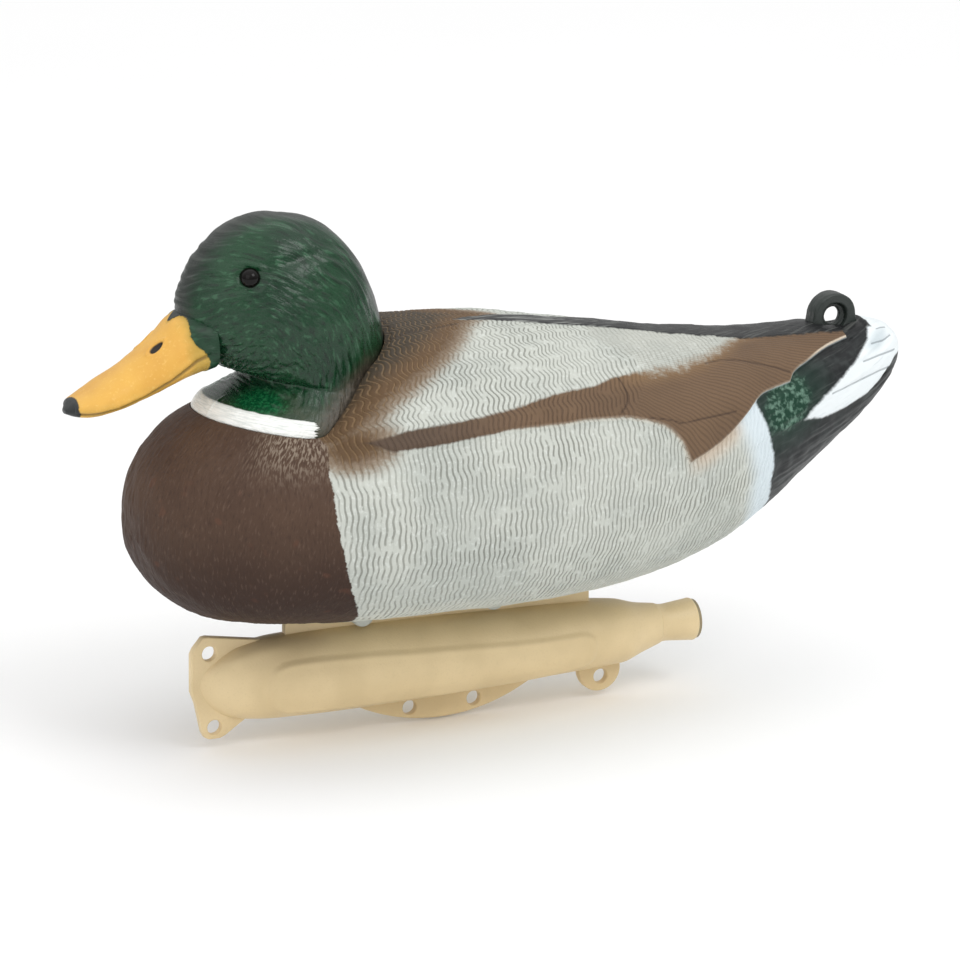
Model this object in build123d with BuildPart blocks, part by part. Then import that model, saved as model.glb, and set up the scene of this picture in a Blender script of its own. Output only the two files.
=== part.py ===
from build123d import *

import os
from math import copysign, cos, dist, pi, radians, sin

# Floating duck decoy, millimetres.  +X towards the bill, +Y to the duck's left, +Z up.
# The origin is on the centre plane, midway along the decoy, at the height of the keel's lowest edge.

# ---- driving dimensions -----------------------------------------------------------------------
WALL = 2.0                # wall of the blow-moulded shells
GAP = 0.5                 # clearance between the turning neck and its seat
SECTION_POINTS = 24       # points round each body, bill and keel section

# Neck seat: a shallow round recess whose axis leans back, so the seam is high at the breast.
NECK_CENTRE = (98.0, 0.0, 143.0)
NECK_TILT = 9.5
NECK_RADIUS = 41.8
SEAT_RADIUS = NECK_RADIUS + GAP
SEAT_FLOOR = 3.0
SEAT_DEPTH = 60.0         # tall enough to clear the mantle behind the neck
SEAT_STUMP = 9.0          # shoulder under the seat that carries its rim
SOCKET_RADIUS = 24.0
PLUG_RADIUS = 23.6
PLUG_LENGTH = 9.0
RING_OUTER_RADIUS = 30.0
RING_THICKNESS = 4.0
RING_DROP = 3.4           # from the seam down to the top of the lock ring

# Body sections, bow to stern: x, half width, height of the widest line, top, bottom.
BODY_SECTIONS = [
    (170.2, 6.0, 103.0, 109.0, 97.0),
    (169.2, 13.0, 103.0, 115.0, 91.0),
    (164.5, 26.5, 103.0, 127.5, 79.0),
    (155.0, 40.0, 103.0, 139.5, 68.5),
    (140.0, 53.0, 104.0, 149.5, 60.5),
    (120.0, 64.0, 105.0, 153.5, 57.0),
    (100.0, 71.0, 106.0, 152.5, 55.5),
    (86.0, 74.5, 107.0, 164.5, 54.5),
    (70.0, 77.0, 108.0, 178.0, 54.0),
    (45.0, 78.0, 109.0, 181.5, 54.0),
    (10.0, 77.5, 110.0, 180.0, 54.0),
    (-30.0, 72.5, 112.0, 173.5, 55.0),
    (-65.0, 64.0, 115.0, 167.5, 59.0),
    (-95.0, 54.0, 119.0, 162.5, 67.0),
    (-120.0, 44.0, 124.0, 160.0, 79.0),
    (-140.0, 36.5, 129.0, 159.5, 93.0),
    (-160.0, 29.0, 134.0, 160.0, 106.5),
    (-178.0, 22.0, 140.0, 159.5, 119.5),
    (-190.0, 16.0, 145.0, 158.0, 130.5),
    (-197.0, 9.0, 147.0, 154.5, 138.5),
    (-199.5, 3.5, 147.5, 150.5, 144.0),
]
BODY_COUNT = 30           # lofted sections, evenly spaced
BODY_SQUARE_TOP = 2.15    # exponents of the oval: 2 is an ellipse, more is boxier
BODY_SQUARE_BOTTOM = 2.3
CAVITY_REAR = -185.0      # the tail is solid behind this

# Head sections, square to the neck axis: height above the seam, rear, front, half width.
HEAD_SECTIONS = [
    (0.3, -41.8, 41.8, 41.8),
    (3.0, -41.7, 41.0, 41.5),
    (6.0, -41.5, 39.5, 40.5),
    (11.0, -41.0, 33.0, 38.0),
    (15.5, -40.5, 26.5, 35.5),
    (19.5, -40.0, 24.0, 33.0),
    (22.5, -39.5, 36.0, 31.5),
    (27.0, -39.0, 46.0, 31.0),
    (36.0, -38.0, 54.5, 31.5),
    (48.0, -34.5, 58.5, 31.5),
    (60.0, -28.5, 56.5, 30.0),
    (70.0, -22.0, 52.0, 26.5),
    (79.0, -14.0, 45.0, 21.5),
    (85.0, -6.0, 37.5, 15.5),
    (88.5, 2.0, 29.5, 9.0),
    (89.7, 12.0, 19.5, 2.5),
]
# The hollow inside the head, with a thicker wall under the jaw.
HEAD_HOLLOW_SECTIONS = [
    (3.0, -39.5, 39.0, 39.5),
    (6.0, -39.5, 37.5, 38.5),
    (11.0, -39.0, 31.0, 36.0),
    (15.5, -38.5, 24.5, 33.5),
    (20.5, -38.0, 22.0, 31.0),
    (25.0, -37.5, 34.5, 29.5),
    (30.0, -37.0, 46.0, 29.0),
    (40.0, -35.5, 54.0, 29.5),
    (50.0, -32.0, 56.0, 29.5),
    (60.0, -26.5, 54.0, 28.0),
    (70.0, -19.5, 49.0, 24.0),
    (79.0, -10.5, 41.0, 18.5),
    (84.5, -2.0, 33.5, 12.0),
    (87.2, 8.0, 23.0, 4.0),
]
HEAD_COUNT = 26
HEAD_TAPER = 0.18         # how much narrower the face is than the back of the head
HEAD_TAPER_HEIGHT = 20.0  # the taper fades in over this height above the seam

# Bill sections, base to tip: x, half width, height of the widest line, top, bottom.
BILL_SECTIONS = [
    (136.0, 19.0, 180.0, 197.0, 171.5),
    (150.0, 17.0, 175.0, 192.0, 167.0),
    (160.0, 15.0, 170.0, 184.5, 162.5),
    (171.0, 14.0, 165.0, 176.5, 158.5),
    (182.0, 14.5, 161.0, 170.0, 156.0),
    (191.0, 13.0, 158.5, 164.5, 155.0),
    (196.5, 8.5, 157.5, 161.0, 155.5),
    (199.5, 2.5, 157.5, 158.5, 156.5),
]
BILL_COUNT = 10
BILL_SQUARE = 2.2
BILL_CAVITY_TIP = 186.0   # the bill is solid in front of this

# Glass eyes: a dome on a round base, set into the head, with a stem behind it.
EYE_X = 122.4
EYE_Y = 20.4
EYE_Z = 211.9
EYE_RADIUS = 4.4
EYE_BASE_Y = 15.8
EYE_STEM_RADIUS = 1.6
EYE_STEM_END_Y = 10.0
EYE_BOSS_RADIUS = 6.5
EYE_BOSS_END_Y = 8.0
EYE_PLAY = 0.05
EYE_POCKET_LENGTH = 13.0  # clears the curve of the cheek

# Keel bulb sections, bow to stern: x, half width, height of the widest line, top, bottom.
KEEL_SECTIONS = [
    (142.0, 1.2, 29.0, 32.0, 26.0),
    (134.0, 5.5, 28.5, 38.5, 16.5),
    (122.0, 10.5, 28.0, 44.5, 11.5),
    (105.0, 15.0, 28.0, 47.0, 10.0),
    (80.0, 18.0, 28.0, 47.6, 9.8),
    (40.0, 18.5, 28.0, 47.3, 10.2),
    (0.0, 18.5, 28.5, 46.3, 11.8),
    (-40.0, 18.0, 28.5, 45.0, 13.4),
    (-60.0, 16.0, 29.0, 43.0, 14.2),
    (-71.0, 12.0, 29.5, 40.0, 17.5),
    (-80.0, 9.2, 29.5, 38.7, 20.3),
]
KEEL_COUNT = 20
KEEL_SQUARE = 2.1
KEEL_WALL = 1.8
KEEL_CAVITY_FRONT = 130.0 # the prow is solid in front of this
BALLAST_PLAY = 0.2        # sand settles this far off the wall
BALLAST_REAR = -65.0
SPOUT_Z = 29.5
SPOUT_RADIUS = 8.9
SPOUT_ROOT_X = -78.0
SPOUT_END_X = -98.0
SPOUT_LIP_RADIUS = 9.6
SPOUT_LIP_LENGTH = 2.0
SPOUT_BORE_RADIUS = 6.8
SPOUT_PLUG_LENGTH = 14.0
SPOUT_PLUG_FLANGE = 1.4
PLUG_PLAY = 0.1

# Web: the flat plate on the centre plane that carries the eyelets and meets the body.
WEB_THICKNESS = 4.0
WEB_FRONT_X = 100.5
WEB_REAR_X = -46.0
WEB_LOW_Z = 20.0          # buried inside the bulb
WEB_HIGH_Z = 60.0         # trimmed back to the body's underside
WEB_PLAY = 0.15
FRONT_PLATE = [
    (95.0, 25.0), (95.0, 45.5), (113.0, 46.5), (137.0, 50.5), (144.3, 43.5), (144.5, 26.0),
    (142.5, 20.5), (139.8, 6.5), (137.0, 4.0), (131.5, 4.0), (117.0, 13.0),
]
FLANGE_CENTRE_X = 26.5
FLANGE_RADIUS = 87.0      # its lowest point is the decoy's lowest point, z = 0
FLANGE_TOP_Z = 30.0       # buried inside the bulb
REAR_TAB_X = -51.5
REAR_TAB_Z = 12.3
REAR_TAB_RADIUS = 10.3
EYELET_RADIUS = 3.3
EYELETS = [(136.0, 42.8), (134.0, 9.2), (41.5, 6.2), (10.5, 6.6), (-52.0, 8.8)]

# Lugs under the body that grip the web, with a pin through each pair.
LUG_X = (66.0, 3.0)
LUG_RADIUS = 4.8
LUG_THICKNESS = 4.0
LUG_PLAY = 0.2
LUG_Z = 53.1              # centre of the rounded end
LUG_TOP_Z = 55.0          # rooted halfway into the wall
LUG_OUTER_Y = WEB_THICKNESS / 2 + LUG_PLAY + LUG_THICKNESS
PIN_RADIUS = 1.4
PIN_PLAY = 0.05
PIN_Z = 51.3
PIN_HEAD_RADIUS = 2.4
PIN_HEAD_LENGTH = 1.2

# Tail ring: a thick ring with a thin pierced disc in its middle.
RING_X = -167.0
RING_Z = 163.5
RING_RADIUS = 10.8
RING_RECESS_RADIUS = 5.9
RING_HOLE_RADIUS = 3.75
RING_WIDTH = 9.0
RING_DISC = 2.6

# Plug that closes the moulding's blow hole, under the stern and square to the sloping bottom.
BLOW_PLACE = (-82.0, 0.0, 62.4)
BLOW_TILT = 15.0
BLOW_RADIUS = 5.0
BLOW_CAP_RADIUS = 7.5
BLOW_CAP_LENGTH = 1.2
BLOW_REACH = 5.0

NECK_PLANE = Plane(origin=NECK_CENTRE, x_dir=(cos(radians(NECK_TILT)), 0, sin(radians(NECK_TILT))),
                   z_dir=(-sin(radians(NECK_TILT)), 0, cos(radians(NECK_TILT))))
BLOW_PLANE = Plane(origin=BLOW_PLACE, x_dir=(0, 1, 0),
                   z_dir=(-sin(radians(BLOW_TILT)), 0, -cos(radians(BLOW_TILT))))


# ---- section curves ---------------------------------------------------------------------------
def angles():
    return [2 * pi * k / SECTION_POINTS for k in range(SECTION_POINTS)]


def signed_power(value, exponent):
    return copysign(abs(value) ** exponent, value)


def faired(sections, count):
    """Evenly spaced sections on smooth curves, without overshoot, through the given ones."""
    places = [0.0]
    for here, there in zip(sections, sections[1:]):
        places.append(places[-1] + dist(here, there))
    last = len(sections) - 1
    steps = [places[k + 1] - places[k] for k in range(last)]
    columns = []
    for column in zip(*sections):
        slopes = [(column[k + 1] - column[k]) / steps[k] for k in range(last)]
        tangents = [slopes[0]]
        for left, right in zip(slopes, slopes[1:]):
            tangents.append(2 * left * right / (left + right) if left * right > 0 else 0.0)
        tangents.append(slopes[-1])
        columns.append((column, tangents))
    result = []
    for n in range(count):
        place = places[-1] * n / (count - 1)
        k = min(last - 1, sum(1 for p in places[1:] if p < place))
        t = (place - places[k]) / steps[k]
        row = []
        for column, tangents in columns:
            start, end = column[k], column[k + 1]
            row.append(start + (end - start) * t * t * (3 - 2 * t)
                       + steps[k] * t * (1 - t) * (tangents[k] * (1 - t) - tangents[k + 1] * t))
        result.append(row)
    return result


def oval(half_width, z_wide, z_top, z_bottom, square_top, square_bottom):
    """Points of a closed oval in a vertical plane, boxier as its exponents grow."""
    points = []
    for angle in angles():
        c, s = cos(angle), sin(angle)
        power = 2 / (square_top if s >= 0 else square_bottom)
        reach = z_top - z_wide if s >= 0 else z_wide - z_bottom
        points.append((half_width * signed_power(c, power), z_wide + reach * signed_power(s, power)))
    return points


def egg(rear, front, half_width, taper):
    """Points of a closed egg, narrower towards the front."""
    middle, reach = (front + rear) / 2, (front - rear) / 2
    return [(middle + reach * cos(a), half_width * sin(a) * (1 - taper * cos(a))) for a in angles()]


def hull(sections, count, square_top, square_bottom, inset=0.0):
    """A solid lofted along X through ovals, each drawn inwards by the inset."""
    with BuildPart() as solid:
        for x, half_width, z_wide, z_top, z_bottom in faired(sections, count):
            points = oval(half_width - inset, z_wide, z_top - inset, z_bottom + inset,
                          square_top, square_bottom)
            with BuildSketch(Plane.YZ.offset(x)):
                with BuildLine():
                    Spline(*points, periodic=True)
                make_face()
        loft()
    return solid.part


def skull(sections):
    """The head and neck without the bill, lofted along the neck axis."""
    with BuildPart() as solid:
        for height, rear, front, half_width in faired(sections, HEAD_COUNT):
            taper = HEAD_TAPER * min(1.0, height / HEAD_TAPER_HEIGHT)
            with BuildSketch(NECK_PLANE.offset(height)):
                with BuildLine():
                    Spline(*egg(rear, front, half_width, taper), periodic=True)
                make_face()
        loft()
    return solid.part


# ---- body shell -------------------------------------------------------------------------------
body_outer = hull(BODY_SECTIONS, BODY_COUNT, BODY_SQUARE_TOP, BODY_SQUARE_BOTTOM)
hollow_sections = []
for body_x, *rest in BODY_SECTIONS[1:]:
    if body_x > CAVITY_REAR:
        hollow_sections.append((body_x * (1 - WALL / BODY_SECTIONS[0][0]), *rest))
body_hollow = hull(hollow_sections, BODY_COUNT, BODY_SQUARE_TOP, BODY_SQUARE_BOTTOM, WALL)

# The hollow stops short of the neck seat, and of the solid foot of the tail ring.
with BuildPart() as cavity:
    add(body_hollow)
    with BuildSketch(NECK_PLANE.offset(-SEAT_FLOOR)):
        Circle(SEAT_RADIUS + WALL)
    extrude(amount=SEAT_DEPTH, mode=Mode.SUBTRACT)
    with BuildSketch(Plane.XZ.offset(-RING_WIDTH / 2)):
        with Locations((RING_X, RING_Z)):
            Circle(RING_RADIUS)
    extrude(amount=RING_WIDTH, mode=Mode.SUBTRACT)

with BuildPart() as body_shell:
    add(body_outer)
    with BuildSketch(NECK_PLANE.offset(-SEAT_STUMP)):
        Circle(SEAT_RADIUS)
    extrude(amount=SEAT_STUMP)
    with BuildSketch(Plane.XZ.offset(-RING_WIDTH / 2)):
        with Locations((RING_X, RING_Z)):
            Circle(RING_RADIUS)
    extrude(amount=RING_WIDTH)
    add(cavity.part, mode=Mode.SUBTRACT)
    # lug pairs, rounded below and rooted in the floor of the body
    for side in (-1, 1):
        with BuildSketch(Plane.XZ.offset(side * (LUG_OUTER_Y - LUG_THICKNESS / 2))):
            with Locations(*[(lug_x, LUG_Z) for lug_x in LUG_X]):
                Circle(LUG_RADIUS)
            with Locations((0, LUG_TOP_Z)):
                Rectangle(4 * max(LUG_X), 2 * LUG_RADIUS, align=(Align.CENTER, Align.MAX),
                          mode=Mode.INTERSECT)
        extrude(amount=LUG_THICKNESS / 2, both=True)
    # neck seat and the socket through its floor
    with BuildSketch(NECK_PLANE):
        Circle(SEAT_RADIUS)
    extrude(amount=SEAT_DEPTH, mode=Mode.SUBTRACT)
    with BuildSketch(NECK_PLANE.offset(-SEAT_STUMP)):
        Circle(SOCKET_RADIUS)
    extrude(amount=SEAT_STUMP, mode=Mode.SUBTRACT)
    # tail ring: a recess from each side, then the pierced disc
    for side in (-1, 1):
        recess_depth = (RING_WIDTH - RING_DISC) / 2
        with BuildSketch(Plane.XZ.offset(side * (RING_DISC / 2 + recess_depth / 2))):
            with Locations((RING_X, RING_Z)):
                Circle(RING_RECESS_RADIUS)
        extrude(amount=recess_depth / 2, both=True, mode=Mode.SUBTRACT)
    with BuildSketch(Plane.XZ):
        with Locations((RING_X, RING_Z)):
            Circle(RING_HOLE_RADIUS)
    extrude(amount=RING_WIDTH, both=True, mode=Mode.SUBTRACT)
    # pin holes through the lugs
    with BuildSketch(Plane.XZ):
        with Locations(*[(lug_x, PIN_Z) for lug_x in LUG_X]):
            Circle(PIN_RADIUS)
    extrude(amount=LUG_OUTER_Y, both=True, mode=Mode.SUBTRACT)
    # blow hole
    with BuildSketch(BLOW_PLANE):
        Circle(BLOW_RADIUS)
    extrude(amount=BLOW_REACH, both=True, mode=Mode.SUBTRACT)
body_shell.part.label = "body_shell"

with BuildPart() as blow_plug:
    with BuildSketch(BLOW_PLANE.offset(-BLOW_REACH)):
        Circle(BLOW_RADIUS - PLUG_PLAY)
    extrude(amount=BLOW_REACH)
    with BuildSketch(BLOW_PLANE):
        Circle(BLOW_CAP_RADIUS)
    extrude(amount=BLOW_CAP_LENGTH)
blow_plug.part.label = "blow_plug"


# ---- head -------------------------------------------------------------------------------------
head_outer = skull(HEAD_SECTIONS)
bill_outer = hull(BILL_SECTIONS, BILL_COUNT, BILL_SQUARE, BILL_SQUARE)
bill_hollow = hull([section for section in BILL_SECTIONS if section[0] < BILL_CAVITY_TIP],
                   BILL_COUNT, BILL_SQUARE, BILL_SQUARE, WALL)

with BuildPart() as head_hollow:
    add(skull(HEAD_HOLLOW_SECTIONS))
    add(bill_hollow)
    # bore of the neck plug, closed at its foot
    with BuildSketch(NECK_PLANE.offset(WALL - PLUG_LENGTH)):
        Circle(PLUG_RADIUS - WALL)
    extrude(amount=PLUG_LENGTH + HEAD_HOLLOW_SECTIONS[0][0])
    # a solid boss is left behind each eye
    for side in (-1, 1):
        with BuildSketch(Plane.XZ.offset(-side * EYE_BOSS_END_Y)):
            with Locations((EYE_X, EYE_Z)):
                Circle(EYE_BOSS_RADIUS)
        extrude(amount=-side * (EYE_Y + EYE_RADIUS), mode=Mode.SUBTRACT)

with BuildPart() as head_shell:
    add(head_outer)
    add(bill_outer)
    with BuildSketch(NECK_PLANE.offset(-PLUG_LENGTH)):
        Circle(PLUG_RADIUS)
    extrude(amount=PLUG_LENGTH + HEAD_SECTIONS[1][0])
    for side in (-1, 1):
        with BuildSketch(Plane.XZ.offset(-side * (EYE_BASE_Y - EYE_PLAY))):
            with Locations((EYE_X, EYE_Z)):
                Circle(EYE_RADIUS + EYE_PLAY)
        extrude(amount=-side * EYE_POCKET_LENGTH, mode=Mode.SUBTRACT)
        with BuildSketch(Plane.XZ.offset(-side * (EYE_STEM_END_Y - EYE_PLAY))):
            with Locations((EYE_X, EYE_Z)):
                Circle(EYE_STEM_RADIUS + EYE_PLAY)
        extrude(amount=-side * (EYE_Y - EYE_STEM_END_Y), mode=Mode.SUBTRACT)
    add(head_hollow.part, mode=Mode.SUBTRACT)
head_shell.part.label = "head_shell"


def eye(side):
    """A domed base with a stem that runs in towards the centre plane."""
    with BuildPart() as glass:
        with Locations((EYE_X, side * EYE_Y, EYE_Z)):
            Sphere(EYE_RADIUS)
        for radius, inner_y in ((EYE_RADIUS, EYE_BASE_Y), (EYE_STEM_RADIUS, EYE_STEM_END_Y)):
            with BuildSketch(Plane.XZ.offset(-side * inner_y)):
                with Locations((EYE_X, EYE_Z)):
                    Circle(radius)
            extrude(amount=-side * (EYE_Y - inner_y))
    return glass.part


eye_left = eye(1)
eye_left.label = "eye_left"
eye_right = eye(-1)
eye_right.label = "eye_right"

# Ring on the neck plug, inside the body, that keeps the head from lifting out.
with BuildPart() as neck_lock_ring:
    with BuildSketch(NECK_PLANE.offset(-RING_DROP - RING_THICKNESS)):
        Circle(RING_OUTER_RADIUS)
        Circle(PLUG_RADIUS + PLUG_PLAY, mode=Mode.SUBTRACT)
    extrude(amount=RING_THICKNESS)
neck_lock_ring.part.label = "neck_lock_ring"


# ---- keel -------------------------------------------------------------------------------------
with BuildPart() as keel_web:
    with BuildSketch(Plane.XZ):
        with BuildLine():
            Polyline(*FRONT_PLATE, close=True)
        make_face()
        with Locations((WEB_REAR_X, WEB_LOW_Z)):
            Rectangle(WEB_FRONT_X - WEB_REAR_X, WEB_HIGH_Z - WEB_LOW_Z, align=(Align.MIN, Align.MIN))
        with Locations((REAR_TAB_X, REAR_TAB_Z)):
            Circle(REAR_TAB_RADIUS)
    extrude(amount=WEB_THICKNESS / 2, both=True)
    # long shallow flange, the low slice of a large circle
    with BuildSketch(Plane.XZ):
        with Locations((FLANGE_CENTRE_X, FLANGE_RADIUS)):
            Circle(FLANGE_RADIUS)
        with Locations((FLANGE_CENTRE_X, 0)):
            Rectangle(2 * FLANGE_RADIUS, FLANGE_TOP_Z, align=(Align.CENTER, Align.MIN),
                      mode=Mode.INTERSECT)
    extrude(amount=WEB_THICKNESS / 2, both=True)
    add(Location((0, 0, -WEB_PLAY)) * body_outer, mode=Mode.SUBTRACT)

keel_hollow_sections = [section for section in KEEL_SECTIONS if section[0] < KEEL_CAVITY_FRONT]
with BuildPart() as keel_shell:
    add(hull(KEEL_SECTIONS, KEEL_COUNT, KEEL_SQUARE, KEEL_SQUARE))
    add(keel_web.part)
    add(hull(keel_hollow_sections, KEEL_COUNT, KEEL_SQUARE, KEEL_SQUARE, KEEL_WALL), mode=Mode.SUBTRACT)
    with BuildSketch(Plane.YZ.offset(SPOUT_END_X)):
        with Locations((0, SPOUT_Z)):
            Circle(SPOUT_RADIUS)
    extrude(amount=SPOUT_ROOT_X - SPOUT_END_X)
    with BuildSketch(Plane.YZ.offset(SPOUT_END_X)):
        with Locations((0, SPOUT_Z)):
            Circle(SPOUT_LIP_RADIUS)
    extrude(amount=SPOUT_LIP_LENGTH)
    with BuildSketch(Plane.YZ.offset(SPOUT_END_X)):
        with Locations((0, SPOUT_Z)):
            Circle(SPOUT_BORE_RADIUS)
    extrude(amount=BALLAST_REAR - SPOUT_END_X, mode=Mode.SUBTRACT)
    with BuildSketch(Plane.XZ):
        with Locations(*EYELETS):
            Circle(EYELET_RADIUS)
        with Locations(*[(lug_x, PIN_Z) for lug_x in LUG_X]):
            Circle(PIN_RADIUS)
    extrude(amount=WEB_THICKNESS, both=True, mode=Mode.SUBTRACT)
keel_shell.part.label = "keel_shell"

with BuildPart() as keel_ballast:
    add(hull(keel_hollow_sections, KEEL_COUNT, KEEL_SQUARE, KEEL_SQUARE, KEEL_WALL + BALLAST_PLAY))
    split(bisect_by=Plane.YZ.offset(BALLAST_REAR), keep=Keep.TOP)
keel_ballast.part.label = "keel_ballast"

with BuildPart() as spout_plug:
    with BuildSketch(Plane.YZ.offset(SPOUT_END_X)):
        with Locations((0, SPOUT_Z)):
            Circle(SPOUT_BORE_RADIUS - PLUG_PLAY)
    extrude(amount=SPOUT_PLUG_LENGTH)
    with BuildSketch(Plane.YZ.offset(SPOUT_END_X)):
        with Locations((0, SPOUT_Z)):
            Circle(SPOUT_RADIUS)
    extrude(amount=-SPOUT_PLUG_FLANGE)
spout_plug.part.label = "spout_plug"

# One pin through each lug pair and the web, with a head at both ends.
with BuildPart() as keel_pins:
    with BuildSketch(Plane.XZ):
        with Locations(*[(lug_x, PIN_Z) for lug_x in LUG_X]):
            Circle(PIN_RADIUS - PIN_PLAY)
    extrude(amount=LUG_OUTER_Y, both=True)
    for side in (-1, 1):
        with BuildSketch(Plane.XZ.offset(-side * LUG_OUTER_Y)):
            with Locations(*[(lug_x, PIN_Z) for lug_x in LUG_X]):
                Circle(PIN_HEAD_RADIUS)
        extrude(amount=-side * PIN_HEAD_LENGTH)
keel_pins.part.label = "keel_pins"


# ---- one file per piece -----------------------------------------------------------------------
os.makedirs("parts", exist_ok=True)
pieces = [body_shell.part, blow_plug.part, head_shell.part, eye_left, eye_right, neck_lock_ring.part,
          keel_shell.part, keel_ballast.part, spout_plug.part, keel_pins.part]
for piece in pieces:
    export_step(piece, f"parts/{piece.label}.step")
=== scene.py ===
import math

import bmesh
import bpy
import numpy as np
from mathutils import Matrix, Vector


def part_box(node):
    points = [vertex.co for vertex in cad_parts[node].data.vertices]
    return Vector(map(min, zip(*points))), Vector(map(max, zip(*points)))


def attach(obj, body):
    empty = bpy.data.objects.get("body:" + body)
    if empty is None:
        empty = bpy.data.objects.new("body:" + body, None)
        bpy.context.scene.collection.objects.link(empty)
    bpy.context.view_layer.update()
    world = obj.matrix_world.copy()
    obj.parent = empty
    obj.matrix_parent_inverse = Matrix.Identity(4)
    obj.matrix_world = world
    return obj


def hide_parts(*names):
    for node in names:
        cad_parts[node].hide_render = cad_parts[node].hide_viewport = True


# Floating duck decoy. The tables and curves here are in millimetres and degrees, in the CAD frame:
# +X towards the bill, +Y to the duck's left, +Z up. Meshes are scaled to metres as they are made.

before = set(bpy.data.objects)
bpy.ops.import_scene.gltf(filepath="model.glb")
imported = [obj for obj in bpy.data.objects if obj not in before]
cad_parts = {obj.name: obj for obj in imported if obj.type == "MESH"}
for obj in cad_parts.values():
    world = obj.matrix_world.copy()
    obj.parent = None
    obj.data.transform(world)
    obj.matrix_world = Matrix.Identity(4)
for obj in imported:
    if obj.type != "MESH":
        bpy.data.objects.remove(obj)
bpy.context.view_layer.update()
MM = 0.001

# ---- shape tables, the same as the CAD's --------------------------------------------------------
# x, half width, height of the widest line, top, bottom
BODY = [
    (170.2, 6, 103, 109, 97), (169.2, 13, 103, 115, 91), (164.5, 26.5, 103, 127.5, 79),
    (155, 40, 103, 139.5, 68.5), (140, 53, 104, 149.5, 60.5), (120, 64, 105, 153.5, 57),
    (100, 71, 106, 152.5, 55.5), (86, 74.5, 107, 164.5, 54.5), (70, 77, 108, 178, 54),
    (45, 78, 109, 181.5, 54), (10, 77.5, 110, 180, 54), (-30, 72.5, 112, 173.5, 55),
    (-65, 64, 115, 167.5, 59), (-95, 54, 119, 162.5, 67), (-120, 44, 124, 160, 79),
    (-140, 36.5, 129, 159.5, 93), (-160, 29, 134, 160, 106.5), (-178, 22, 140, 159.5, 119.5),
    (-190, 16, 145, 158, 130.5), (-197, 9, 147, 154.5, 138.5), (-199.5, 3.5, 147.5, 150.5, 144),
]
BILL = [
    (136, 19, 180, 197, 171.5), (150, 17, 175, 192, 167), (160, 15, 170, 184.5, 162.5),
    (171, 14, 165, 176.5, 158.5), (182, 14.5, 161, 170, 156), (191, 13, 158.5, 164.5, 155),
    (196.5, 8.5, 157.5, 161, 155.5), (199.5, 2.5, 157.5, 158.5, 156.5),
]
KEEL = [
    (142, 1.2, 29, 32, 26), (134, 5.5, 28.5, 38.5, 16.5), (122, 10.5, 28, 44.5, 11.5),
    (105, 15, 28, 47, 10), (80, 18, 28, 47.6, 9.8), (40, 18.5, 28, 47.3, 10.2),
    (0, 18.5, 28.5, 46.3, 11.8), (-40, 18, 28.5, 45, 13.4), (-60, 16, 29, 43, 14.2),
    (-71, 12, 29.5, 40, 17.5), (-80, 9.2, 29.5, 38.7, 20.3),
]
# height above the neck seam, rear, front, half width
HEAD = [
    (0.3, -41.8, 41.8, 41.8), (3, -41.7, 41, 41.5), (6, -41.5, 39.5, 40.5), (11, -41, 33, 38),
    (15.5, -40.5, 26.5, 35.5), (19.5, -40, 24, 33), (22.5, -39.5, 36, 31.5), (27, -39, 46, 31),
    (36, -38, 54.5, 31.5), (48, -34.5, 58.5, 31.5), (60, -28.5, 56.5, 30), (70, -22, 52, 26.5),
    (79, -14, 45, 21.5), (85, -6, 37.5, 15.5), (88.5, 2, 29.5, 9), (89.7, 12, 19.5, 2.5),
]
HEAD_TAPER, HEAD_TAPER_HEIGHT = 0.18, 20.0
BODY_SQUARE = (2.15, 2.3)
BILL_SQUARE = (2.2, 2.2)
KEEL_SQUARE = (2.1, 2.1)
NECK = np.array((98.0, 0.0, 143.0))
LEAN = math.radians(9.5)
NECK_U = np.array((math.cos(LEAN), 0.0, math.sin(LEAN)))
NECK_A = np.array((-math.sin(LEAN), 0.0, math.cos(LEAN)))
SEAT_RADIUS = 42.3
SEAT_GAP = 0.5
SOCKET_RADIUS, PLUG_RADIUS, PLUG_LENGTH = 24.0, 23.6, 9.0


# ---- maths --------------------------------------------------------------------------------------
def faired(table, shares):
    """Rows on smooth curves, without overshoot, through a table's rows. Shares run from 0 to 1."""
    table = np.array(table, float)
    places = np.r_[0, np.cumsum(np.linalg.norm(np.diff(table, axis=0), axis=1))]
    steps = np.diff(places)[:, None]
    slopes = np.diff(table, axis=0) / steps
    left, right = slopes[:-1], slopes[1:]
    same = left * right > 0
    inner = np.where(same, 2 * left * right / np.where(same, left + right, 1), 0)
    tangents = np.vstack([slopes[:1], inner, slopes[-1:]])
    at = np.asarray(shares) * places[-1]
    k = np.clip(np.searchsorted(places, at) - 1, 0, len(steps) - 1)
    t = ((at - places[k]) / steps[k, 0])[:, None]
    start, end = table[k], table[k + 1]
    return (start + (end - start) * t * t * (3 - 2 * t)
            + steps[k] * t * (1 - t) * (tangents[k] * (1 - t) - tangents[k + 1] * t))


def ease(low, high, value):
    t = np.clip((value - low) / (high - low), 0, 1)
    return t * t * (3 - 2 * t)


def bell(value, width):
    return np.exp(-(value / width) ** 2)


# large odd numbers that scramble a cell's three places, its seed, and then the sum
HASH_PLACES, HASH_SEED, HASH_ROUNDS = (374761393, 668265263, 2147483647), 144665, (1274126177, 2246822519)


def lattice(cells, seed):
    """A number from 0 to 1 for each whole-numbered cell, the same every time."""
    n = sum(cells[..., k] * HASH_PLACES[k] for k in range(3)) + seed * HASH_SEED
    n = (n ^ (n >> 13)) * HASH_ROUNDS[0]
    n = (n ^ (n >> 16)) * HASH_ROUNDS[1]
    return ((n ^ (n >> 15)) & 0xFFFFFF) / 0xFFFFFF


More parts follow.
